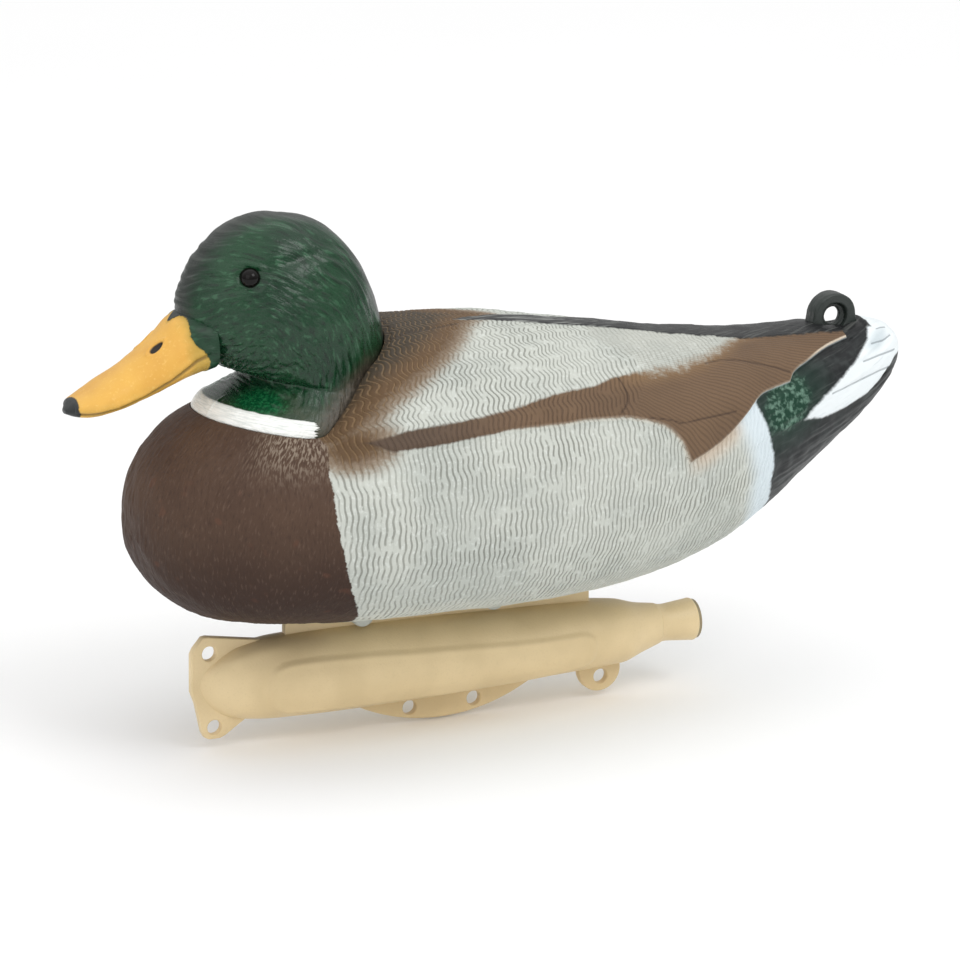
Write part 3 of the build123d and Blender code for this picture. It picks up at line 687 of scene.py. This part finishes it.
# where the rear wing turns golden, and where its lower edge is pale
gilt = ease(10, 0, brown) * ease(-25, -50, x)
lip = 0.2 * ease(40, -10, x) + 0.75 * ease(-138, -150, x)

# ---- cut the neck seat: points inside it are drawn out to its edge
rear_heights, rear_radii = [r[0] for r in HEAD], [-r[1] for r in HEAD]


def seat_radius(height):
    """The radius of the seat's wall, just clear of the back of the turning neck."""
    return np.interp(height, rear_heights, rear_radii) + SEAT_GAP


# only the top of the body's front half is cut
inside = (neck_r < seat_radius(neck_s)) & (angle > 20) & (x > 40) & (neck_s > -14)
near = np.zeros_like(inside)
outside = ~inside
for di in (-1, 0, 1):
    for dj in (-1, 0, 1):
        near |= np.roll(np.roll(outside, di, 0), dj, 1)
rim = inside & near
sections = faired(BODY, np.linspace(0, 1, 4000))[::-1]
scale = seat_radius(neck_s[rim]) / neck_r[rim]
rim_u, rim_y, rim_s = neck_u[rim] * scale, neck_y[rim] * scale, neck_s[rim]
# each step brings the rim's points nearer to both the body's surface and the seat's wall
RIM_STEPS = 6
for _ in range(RIM_STEPS):
    px = neck_point(rim_u, rim_y, rim_s)[:, 0]
    half, wide, top = (np.interp(px, sections[:, 0], sections[:, k]) for k in (1, 2, 3))
    up = (1 - np.clip(abs(rim_y) / half, 0, 0.999) ** BODY_SQUARE[0]) ** (1 / BODY_SQUARE[0])
    pz = wide + (top - wide) * up
    rim_s = (pz - NECK[2] - NECK_U[2] * rim_u) / NECK_A[2]
    grow = seat_radius(rim_s) / np.hypot(rim_u, rim_y)
    rim_u, rim_y = rim_u * grow, rim_y * grow
base[rim] = neck_point(rim_u, rim_y, rim_s)
neck_u, neck_y, neck_s = neck_place(base)
neck_r = np.hypot(neck_u, neck_y)
# distance from the seat's wall, or from its foot below the seat
wall_gap = neck_r - seat_radius(neck_s)
below = np.minimum(neck_s + 8, 0)
from_rim = np.where(below < 0, np.hypot(np.maximum(wall_gap, 0), below), wall_gap)
upper = (angle > 10) & (x > 20)

# ---- relief: millimetres out from the smooth body
out = normals(base)
# the wing's step, the hollow under it, and the swell of the flank below
lift = 1.3 * ease(-1.0, 0.8, wing) * ease(99, 88, x)
lift += -0.55 * bell(wing + 1.6, 1.6) * ease(99, 88, x)
lift += 0.8 * bell(wing + 14, 9) * ease(60, 0, x) * (wing < 0)
# grooves, barbs and the uneven rows of the flank
groove = ease(-0.2, 1.0, np.cos(2 * math.pi * lines)) * line_depth
lift -= 0.34 * groove * ease(0.5, 3.0, from_rim)
lift -= 0.1 * ease(-0.4, 1.0, np.cos(2 * math.pi * barbs)) * wing_rear * (1 - ease(-1, 1, stripe))
lift += 0.35 * feather * ease(4, -4, breast) * ease(4, -4, rump)
# short strokes on the breast and long ones on the rump
dash = noise(flat(fan_across, fan_along * 0.3), 1.6, 21)
lift += 0.3 * dash * ease(-1, 2, breast) * (0.45 + 0.55 * ease(60, 20, from_rim))
streak = noise(flat(x * 0.07, v * 0.6), 1.0, 33)
lift += 0.35 * streak * ease(0, 4, rump) * (wing < 0)
# tail feathers, their quill lines, the back's stripe, the crease beside it, and slight unevenness
lift += 0.9 * ease(-1.2, 0.8, white_tail)
lift -= 0.4 * bell(quills, 0.8)
lift += 0.6 * ease(-1.0, 1.0, stripe) * ease(20, -20, x)
lift -= 0.6 * bell(crest_line, 0.9)
lift += 0.22 * noise(base, 5, 40)
# the back dips round the tail ring, and the breast is a little flatter underneath
lift -= 2.6 * bell(np.hypot(x - TAIL_RING[0], 0.75 * y), 8.0) * (z > 145)
lift -= 1.3 * ease(-35, -70, angle) * ease(10, 50, x)
lift *= ease(-199, -192, x)
shape = base + out * lift[..., None]
# the breast and mantle meet the neck seam in a soft fillet
FILLET_SLOPE, FILLET_SOFTNESS = 0.85, 1.6
shape_s = neck_place(shape)[2]
target = -FILLET_SLOPE * from_rim - 0.15
merged = 0.5 * (shape_s + target + np.sqrt((shape_s - target) ** 2 + FILLET_SOFTNESS ** 2))
blend = ease(9, 3, shape_s) * upper * ease(11, 3, from_rim)
shape = shape + NECK_A * ((merged - shape_s) * blend)[..., None]
roll = -1.6 * bell(from_rim, 2.6) * ease(4, 14, shape_s) * upper
shape = shape + NECK_A * roll[..., None]

fields = {
    "wing": wing, "brown": brown / airbrushed, "gold": gold, "breast": breast, "band": rump + 9.5,
    "rump": rump, "gilt": gilt, "lip": lip, "quills": quills,
    "white_tail": white_tail, "stripe": stripe, "crest_line": crest_line, "lines": lines,
    "line_depth": line_depth, "wing_rear": wing_rear, "barbs": barbs, "across": fan_across,
    "along": fan_along, "forward": x, "up": z, "round": v,
    # where the painted highlight on the shoulder's strokes falls
    "bib_highlight": ease(24, 3, from_rim) * ease(0.75, 1.2, abs(np.arctan2(neck_y, neck_u))),
    # keelward: how far below the widest line, for the painted shade towards the keel
    "keelward": abs(v) * (v < 0), "feather": feather,
    "sheen": 11.5 - np.hypot((x + 124) * 0.85, v - 11.5),
}
points, faces, fields = capped(shape, fields)
gone = inside.ravel()
faces = [f for f in faces if not all(gone[k] if k < gone.size else False for k in f)]

# the seat's wall and floor grow from the loop of open edges
edges = {}
for f in faces:
    for a, b in zip(f, f[1:] + f[:1]):
        edges.setdefault((min(a, b), max(a, b)), []).append((a, b))
follow = {uses[0][0]: uses[0][1] for uses in edges.values() if len(uses) == 1}
first = next(iter(follow))
loop = [first]
while follow[loop[-1]] != first:
    loop.append(follow[loop[-1]])
loop_u, loop_y, loop_s = neck_place(points[loop])
loop_turn = np.arctan2(loop_y, loop_u)
WALL_RINGS = 8
level = np.ones(len(loop))
rings = []
for share in np.linspace(1, 0, WALL_RINGS + 1)[1:]:
    ring_s = np.maximum(loop_s, 0) * share + np.minimum(loop_s, 0)
    rings.append((np.where(ring_s <= 0.5, SEAT_RADIUS, seat_radius(ring_s)), ring_s))
rings += [(SOCKET_RADIUS * level, 0 * level), (SOCKET_RADIUS * level, -PLUG_LENGTH * level)]
extra, previous = [], list(loop)
for ring_r, ring_s in rings:
    start = len(points) + len(loop) * len(extra)
    extra.append(neck_point(ring_r * np.cos(loop_turn), ring_r * np.sin(loop_turn), ring_s))
    ring = list(range(start, start + len(loop)))
    for k in range(len(loop)):
        n = (k + 1) % len(loop)
        faces.append([previous[k], previous[n], ring[n], ring[k]])
    previous = ring
points = np.vstack([points] + extra)
fields = {key: np.concatenate([values, np.tile(values[loop], len(rings))]) for key, values in fields.items()}
used = np.zeros(len(points), bool)
used[[k for f in faces for k in f]] = True
renumber = np.cumsum(used) - 1
faces = [[int(renumber[k]) for k in f] for f in faces]
body_piece = new_piece("body_form", points[used], faces, "hull", BODY_PAINT,
                       {key: values[used] for key, values in fields.items()})
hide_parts("body_shell")

# ---- head ---------------------------------------------------------------------------------------
HEAD_ROWS, HEAD_COLUMNS = 340, 420
# the neck's radius, and the angle round it where the white ring ends, with the ring's height
NECK_REACH, RING_END, RING_HEIGHT = 42, 84.0, 7.5
eggs = faired(HEAD, np.linspace(0, 1, HEAD_ROWS))
spin = np.linspace(0, 2 * math.pi, HEAD_COLUMNS, endpoint=False)
rise, rear, fore, half = (eggs[:, k, None] for k in range(4))
taper = HEAD_TAPER * np.clip(rise / HEAD_TAPER_HEIGHT, 0, 1)
head_u = (fore + rear) / 2 + (fore - rear) / 2 * np.cos(spin)
head_y = half * np.sin(spin) * (1 - taper * np.cos(spin))
rise = rise + 0 * head_u
skull = neck_point(head_u, head_y, rise)
hx, hy, hz = skull[..., 0], abs(skull[..., 1]), skull[..., 2]
# angles round the neck from the front, and distances round it, for the white ring and the shading
around = np.arctan2(head_y, head_u)
azimuth = np.degrees(abs(around))
around = around * NECK_REACH
eye_low, eye_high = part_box("eye_left")
EYE_X, EYE_Z = (eye_low.x + eye_high.x) / 2 / MM, (eye_low.z + eye_high.z) / 2 / MM
# feathers sweep back over the cheek and down the neck, round the throat
THROAT = (126.0, 168.0)
sweep_turn = np.arctan2(hz - THROAT[1], -(hx - THROAT[0]))
sweep_reach = np.hypot(hx - THROAT[0], hz - THROAT[1])
warp = noise(skull, 13, 51) * 2.2
head_across = sweep_reach + warp
head_along = sweep_turn * NECK_REACH + noise(skull, 9, 52) * 2
head_out = normals(skull)
puff = 0.42 * noise(flat(head_across * 0.62, head_along * 0.17), 1.0, 60) * ease(8, 16, rise)
brow = [(150, 200), (136, 206.5), (EYE_X + 4, EYE_Z + 1), (EYE_X, EYE_Z + 1.5), (112, 216), (98, 220),
        (88, 220)]
side = ease(8, 15, hy)
# a hollow along the brow, a swell behind it and on the cheek, and a lid round the eye
puff -= 0.9 * bell(apart(hx, hz, brow), 2.6) * side * ease(84, 98, hx)
puff += 0.7 * bell(np.hypot(hx - 112, hz - EYE_Z - 12), 9) * side
puff += 0.9 * bell(np.hypot(hx - 108, hz - 192), 15) * side
eye_gap = np.hypot(hx - EYE_X, hz - EYE_Z)
puff -= 0.9 * bell(eye_gap, 4.6) * side
puff += 0.45 * bell(eye_gap - 6.2, 1.3) * side
# the white ring stands a little proud, with a moulding line beside its front
ring_end = np.radians(RING_END - azimuth) * NECK_REACH
puff += 0.45 * ease(0.4, -0.4, rise - RING_HEIGHT + 0.2) * ease(-0.5, 0.8, ring_end)
puff += 0.5 * bell(around - 9, 0.6) * ease(11, 8, rise)
puff *= ease(0.3, 1.4, rise)
skull = skull + head_out * puff[..., None]
# how high the brown-grey shading climbs, for angles round the neck from the front
SPRAY_TOP = ((80, 88, 93, 111, 125, 180), (4, 11, 16, 28, 37, 42))
head_fields = {
    "across": head_across, "along": head_along, "rise": rise, "round": around,
    "crown": 10 - hy + 10 * ease(5, -30, head_u) - 24 * ease(44, 24, rise) * ease(-20, 0, head_u),
    # low: where the painted shade under the chin and down the throat reaches
    "low": 22 - rise + 3 * noise(skull, 12, 66) - 18 * ease(-5, -25, head_u) - 4 * ease(25, 5, hy),
    "patch": 8.5 - np.hypot((azimuth - 43) * 0.36, (rise - 11.5) * 1.6),
    "spray": np.minimum((azimuth - 80) * 0.5, np.interp(azimuth, *SPRAY_TOP) - rise),
    "ring_top": RING_HEIGHT - rise, "ring_end": ring_end,
}
# the foot of the neck: a flat base, then the plug that turns in the body's socket
foot = [neck_point(PLUG_RADIUS * np.cos(spin), PLUG_RADIUS * np.sin(spin), np.full(HEAD_COLUMNS, height))
        for height in (-PLUG_LENGTH, HEAD[0][0])]
skull = np.concatenate([np.stack(foot), skull])
head_fields = {key: np.concatenate([values[:1], values[:1], values]) for key, values in head_fields.items()}
points, faces, head_fields = capped(skull, head_fields)
head_piece = new_piece("head_form", points, faces, "head", HEAD_PAINT, head_fields)
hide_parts("head_shell")

# ---- bill ---------------------------------------------------------------------------------------
BILL_ROWS, BILL_COLUMNS = 260, 240
bill = oval_grid(BILL, BILL_ROWS, BILL_COLUMNS, BILL_SQUARE)[0]
bx, by, bz = bill[..., 0], bill[..., 1], bill[..., 2]
bill_out = normals(bill)
MOUTH = [(140, 180), (146, 177.5), (156, 169.5), (168, 162.8), (180, 159.2), (190, 157.8), (197, 157.5)]
mouth = apart(bx, bz, MOUTH) + 9 * ease(196, 199, bx)
# each nostril is an egg: 1 at its middle and 0 on its edge
NOSTRIL, NOSTRIL_AXIS = np.array((160.3, 7.3, 182.8)), np.array((0.78, 0.0, -0.62))
NOSTRIL_LENGTH, NOSTRIL_WIDTH = 3.5, 1.9
from_nostril = np.stack([bx, abs(by), bz], -1) - NOSTRIL
ahead = from_nostril @ NOSTRIL_AXIS
aside = np.linalg.norm(from_nostril - ahead[..., None] * NOSTRIL_AXIS, axis=-1)
nostril = 1 - np.hypot(ahead / NOSTRIL_LENGTH, aside / (NOSTRIL_WIDTH + 0.1 * ahead))
upper_bill = ease(0, 1, bz - table_at(MOUTH, bx))
bulge = -0.75 * bell(mouth, 0.8) + 0.5 * bell(mouth - 1.8, 1.3) * upper_bill
bulge += -0.9 * ease(-0.15, 0.25, nostril) + 0.4 * bell(nostril + 0.45, 0.25)
# feathers over the bill's root: behind a line that runs forward to a point on the forehead
FEATHER_LINE = [(140, 172), (140.5, 178), (142, 181), (145.5, 184), (147.2, 187), (146, 192), (145.5, 200)]
feathered = table_at(swapped(FEATHER_LINE), bz) + 5.5 * bell(by, 3.5) * ease(186, 190, bz) - bx
bulge += 1.7 * bell(bx - 146.5, 6.5) * ease(184, 191, bz)
bulge += 0.5 * ease(-0.6, 0.4, feathered)
bulge += 0.35 * bell(bx - 195, 3.2) * ease(0, 3, bz - 158) + 0.15 * noise(bill, 4, 71)
bill = bill + bill_out * bulge[..., None]
bill_fields = {
    "mouth": mouth, "nostril": nostril * 2, "across": bz * 0.8 - abs(by) * 0.6,
    "along": bx + 2 * noise(bill, 6, 73), "nail": bx - 194.6 - 0.012 * by ** 2, "feathered": feathered,
    "brow": 9 - abs(by), "olive": np.maximum(4.6 - mouth, 150 - bx + 2 * ease(0, 8, abs(by))) - 2,
}
points, faces, bill_fields = capped(bill, bill_fields)
new_piece("bill_form", points, faces, "head", BILL_PAINT, bill_fields)

# ---- keel ---------------------------------------------------------------------------------------
KEEL_ROWS, KEEL_COLUMNS = 300, 200
keel = oval_grid(KEEL, KEEL_ROWS, KEEL_COLUMNS, KEEL_SQUARE)[0]
kx, kz = keel[..., 0], keel[..., 2]
keel_out = normals(keel)
# a raised panel on each flank, and a soft ridge that climbs from the front plate
PANEL = [(113.5, 24.9), (112.5, 30), (109.6, 34.8), (102.9, 37.3), (89.7, 38), (67.2, 37.6), (44.1, 36.4),
         (21, 35.5), (-2.5, 34.4), (-23.2, 34.1), (-34, 34.3), (-40, 33), (-42, 29.6), (-41.5, 23.5),
         (-36.6, 18.2), (9.3, 14.2), (57.5, 13.8), (102.4, 14), (110, 18), (113.5, 24.9)]
RIDGE = [(140, 30.5), (134, 34.4), (128.4, 38.1), (116.7, 42), (104, 44), (92, 44.6)]
panel_line = faired(PANEL, np.linspace(0, 1, 240)).tolist()
panel = apart(kx, kz, panel_line) * np.where(within(kx, kz, panel_line), 1, -1)
swell = 0.8 * ease(-1.8, 1.4, panel) + 0.3 * bell(panel - 1.2, 1.3)
swell += 0.5 * bell(apart(kx, kz, faired(RIDGE, np.linspace(0, 1, 40))), 2.2) * ease(94, 112, kx)
swell *= ease(-80, -72, kx) * ease(141, 134, kx)
keel = keel + keel_out * swell[..., None]
points, faces, _ = capped(keel, {})
keel_piece = new_piece("keel_bulb", points, faces, "hull", KEEL_PLASTIC)
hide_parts("keel_shell")

# the filling spout: radius and x, from the inside of the bore, over the lip and back along the outside
SPOUT_Z, SPOUT_ROOT, SPOUT_END, SPOUT_SEGMENTS = 29.5, -70, -98.0, 96
SPOUT = [(6.8, SPOUT_ROOT), (6.8, -97.2), (7.2, -97.85), (7.8, SPOUT_END), (9.1, SPOUT_END), (9.5, -97.75),
         (9.65, -97.1), (9.5, -96.2), (9.3, -94), (8.9, -90), (8.5, -86), (8.35, -84), (8.5, -82),
         (8.9, -80.6), (9.3, -79.2), (9.6, -77.5), (8.9, SPOUT_ROOT)]
spout = lathe(SPOUT, (0, 0, SPOUT_Z), 0, SPOUT_SEGMENTS)
new_piece("keel_spout", spout.reshape(-1, 3), ring_faces(len(SPOUT), SPOUT_SEGMENTS), "hull", KEEL_PLASTIC)


def arc(cx, cz, radius, start, end, count=40):
    return [(cx + radius * math.cos(t), cz + radius * math.sin(t))
            for t in np.radians(np.linspace(start, end, count))]


# a plate's half thickness, how far its edges are softened, and the radius of its line eyelets
PLATE_HALF, PLATE_EDGE, EYELET = 2.0, 0.6, 3.3


def plate(name, outline, eyelets=(), edge=PLATE_EDGE):
    """A flat plate on the centre plane, with round eyelets and softened edges."""
    curve = bpy.data.curves.new(name, "CURVE")
    curve.dimensions = "2D"
    curve.fill_mode = "BOTH"
    curve.extrude = (PLATE_HALF - edge) * MM
    curve.bevel_depth = edge * MM
    curve.bevel_resolution = 2
    curve.offset = -edge * MM
    for loop_points in [outline] + [arc(cx, cz, EYELET, 0, -360)[:-1] for cx, cz in eyelets]:
        spline = curve.splines.new("POLY")
        spline.points.add(len(loop_points) - 1)
        for point, (px, pz) in zip(spline.points, loop_points):
            point.co = (px * MM, pz * MM, 0, 1)
        spline.use_cyclic_u = True
    holder = bpy.data.objects.new(name + "_outline", curve)
    bpy.context.scene.collection.objects.link(holder)
    bpy.context.view_layer.update()
    mesh = bpy.data.meshes.new_from_object(holder.evaluated_get(bpy.context.evaluated_depsgraph_get()))
    bpy.data.objects.remove(holder)
    for vertex in mesh.vertices:
        across_plate, up_plate, depth = vertex.co
        vertex.co = (across_plate, -depth, up_plate)
    mesh.name = name
    made = bpy.data.objects.new(name, mesh)
    bpy.context.scene.collection.objects.link(made)
    mesh.materials.clear()
    mesh.materials.append(KEEL_PLASTIC)
    turn_outward(made)
    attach(made, "hull")
    return made


plate("keel_front_plate",
      [(95, 25), (95, 45.5), (113, 46.5), (137, 50.5), (139, 50.2), (143, 45.6), (144.3, 43), (144.5, 26),
       (142.5, 20.5), (139.8, 7.5), (138.6, 5), (136.5, 4), (131.5, 4), (129, 5), (117, 13)],
      [(136, 42.8), (134, 9.2)])
# the middle flange is a shallow arc that hangs below the bulb, cut off inside it
FLANGE_X, FLANGE_RADIUS, FLANGE_TOP = 26.5, 87, 16
reach = math.degrees(math.acos((FLANGE_RADIUS - FLANGE_TOP) / FLANGE_RADIUS))
plate("keel_flange", arc(FLANGE_X, FLANGE_RADIUS, FLANGE_RADIUS, -90 - reach, -90 + reach),
      [(41.5, 6.2), (10.5, 6.6)])
plate("keel_rear_tab", arc(-51.5, 12.3, 10.3, 0, 360, 64)[:-1], [(-52, 8.8)])
plate("keel_web", [(-46, 30), (100.5, 30), (100.5, 56.2), (-46, 54.8)], edge=0.25)

# ---- lugs, tail ring ----------------------------------------------------------------------------
# radius and distance from the centre plane
LUG = [(0.05, 2.2), (4.6, 2.2), (5.05, 2.5), (5.1, 3.2), (5.1, 7.4), (4.9, 8.1), (4.4, 8.5), (3.6, 8.7),
       (0.05, 8.7)]
LUG_PLACES, LUG_Z, LUG_SEGMENTS = {"front": 66.0, "rear": 3.0}, 53.1, 48
for lug_name, lug_x in LUG_PLACES.items():
    for side_name, sign in (("left", 1), ("right", -1)):
        lug = lathe([(r, sign * a) for r, a in LUG], (lug_x, 0, LUG_Z), 1, LUG_SEGMENTS)
        points, faces, _ = capped(lug, {})
        new_piece(f"lug_{lug_name}_{side_name}", points, faces, "hull", LUG_PAINT)

# half of the ring's own section, from the outside in, which its mirror image and the rim complete
RING_HALF = [(10.2, 4.1), (9.4, 4.5), (7.4, 4.5), (6.4, 4.2), (5.9, 3.4), (5.8, 1.9), (5.4, 1.4), (4.2, 1.3),
             (3.8, 0.9)]
RING_RIM = [(10.7, -3.3), (10.8, -1.6), (10.8, 1.6), (10.7, 3.3)]
RING_SEGMENTS = 160
ring_section = RING_HALF + [(r, -a) for r, a in RING_HALF[::-1]] + RING_RIM
ring_section = faired(ring_section + ring_section[:1], np.linspace(0, 1, 60))[:-1]
ring = lathe(ring_section, (TAIL_RING[0], 0, TAIL_RING[1]), 1, RING_SEGMENTS)
rx, rz = ring[..., 0] - TAIL_RING[0], ring[..., 2] - TAIL_RING[1]
ring_r = np.hypot(rx, rz)
# its foot flares into the back, and its skin is as rough as a casting's
foot_flare = 2.6 * ease(7, 10.5, ring_r) * ease(0.15, -0.75, rz / ring_r) * ease(-0.98, -0.75, rz / ring_r)
rough_skin = (0.28 * noise(ring, 6, 80) + 0.1 * noise(ring, 1.8, 81)) * np.where(ring_r < 4.6, 1.4, 1)
push = 1 + (foot_flare + rough_skin) / ring_r
ring[..., 0], ring[..., 2] = TAIL_RING[0] + rx * push, TAIL_RING[1] + rz * push
new_piece("tail_ring", ring.reshape(-1, 3), ring_faces(len(ring_section), RING_SEGMENTS), "hull", RING_PAINT)

# ---- floor, light and camera --------------------------------------------------------------------
FLOOR_HALF, FLOOR_Z = 6, -0.001
FLOOR_CORNERS = ((-1, -1), (1, -1), (1, 1), (-1, 1))
floor_paint = Paint("floor", 0.9)
floor_paint.set("Base Color", floor_paint.mix(floor_paint.noise(400), (0.97, 0.97, 0.97, 1),
                                              (0.95, 0.95, 0.95, 1)))
floor_mesh = bpy.data.meshes.new("floor")
floor_mesh.from_pydata([(sx * FLOOR_HALF, sy * FLOOR_HALF, FLOOR_Z) for sx, sy in FLOOR_CORNERS], [],
                       [(0, 1, 2, 3)])
floor_mesh.materials.append(floor_paint.material)
floor = bpy.data.objects.new("floor", floor_mesh)
bpy.context.scene.collection.objects.link(floor)

world = bpy.data.worlds.new("studio")
bpy.context.scene.world = world
world.use_nodes = True
# a soft sky, brightest overhead
sky = world.node_tree
background = sky.nodes["Background"]
background.inputs["Color"].default_value = (1, 1, 1, 1)
height = sky.nodes.new("ShaderNodeSeparateXYZ")
sky.links.new(sky.nodes.new("ShaderNodeTexCoord").outputs["Generated"], height.inputs[0])
fade = sky.nodes.new("ShaderNodeMapRange")
sky.links.new(height.outputs["Z"], fade.inputs["Value"])
fade.inputs["To Min"].default_value = 0.4
fade.inputs["To Max"].default_value = 1.3
sky.links.new(fade.outputs["Result"], background.inputs["Strength"])
bpy.context.scene.view_settings.view_transform = "Standard"


LAMP_TARGET = Vector((0.0, 0.0, 0.1))


def lamp(name, place, size, power):
    light = bpy.data.lights.new(name, "AREA")
    light.shape = "SQUARE"
    light.size = size
    light.energy = power
    lamp_object = bpy.data.objects.new(name, light)
    bpy.context.scene.collection.objects.link(lamp_object)
    lamp_object.location = place
    lamp_object.rotation_euler = (LAMP_TARGET - Vector(place)).to_track_quat("-Z", "Y").to_euler()


lamp("key", (-0.5, 1.3, 1.6), 0.9, 10)
lamp("fill", (1.3, 0.9, 0.9), 1.2, 3)

# a long lens far off the duck's left front, a little above it
LENS, DISTANCE = 196.2, 2.3
camera_data = bpy.data.cameras.new("camera")
camera_data.sensor_width = 36
camera_data.lens = LENS
camera = bpy.data.objects.new("camera", camera_data)
bpy.context.scene.collection.objects.link(camera)
target = Vector((0.0065, 0, 0.107))
back = Vector((0.4006, 0.8790, 0.2588)).normalized()
camera.location = target + back * DISTANCE
camera.rotation_euler = (-back).to_track_quat("-Z", "Y").to_euler()
bpy.context.scene.camera = camera
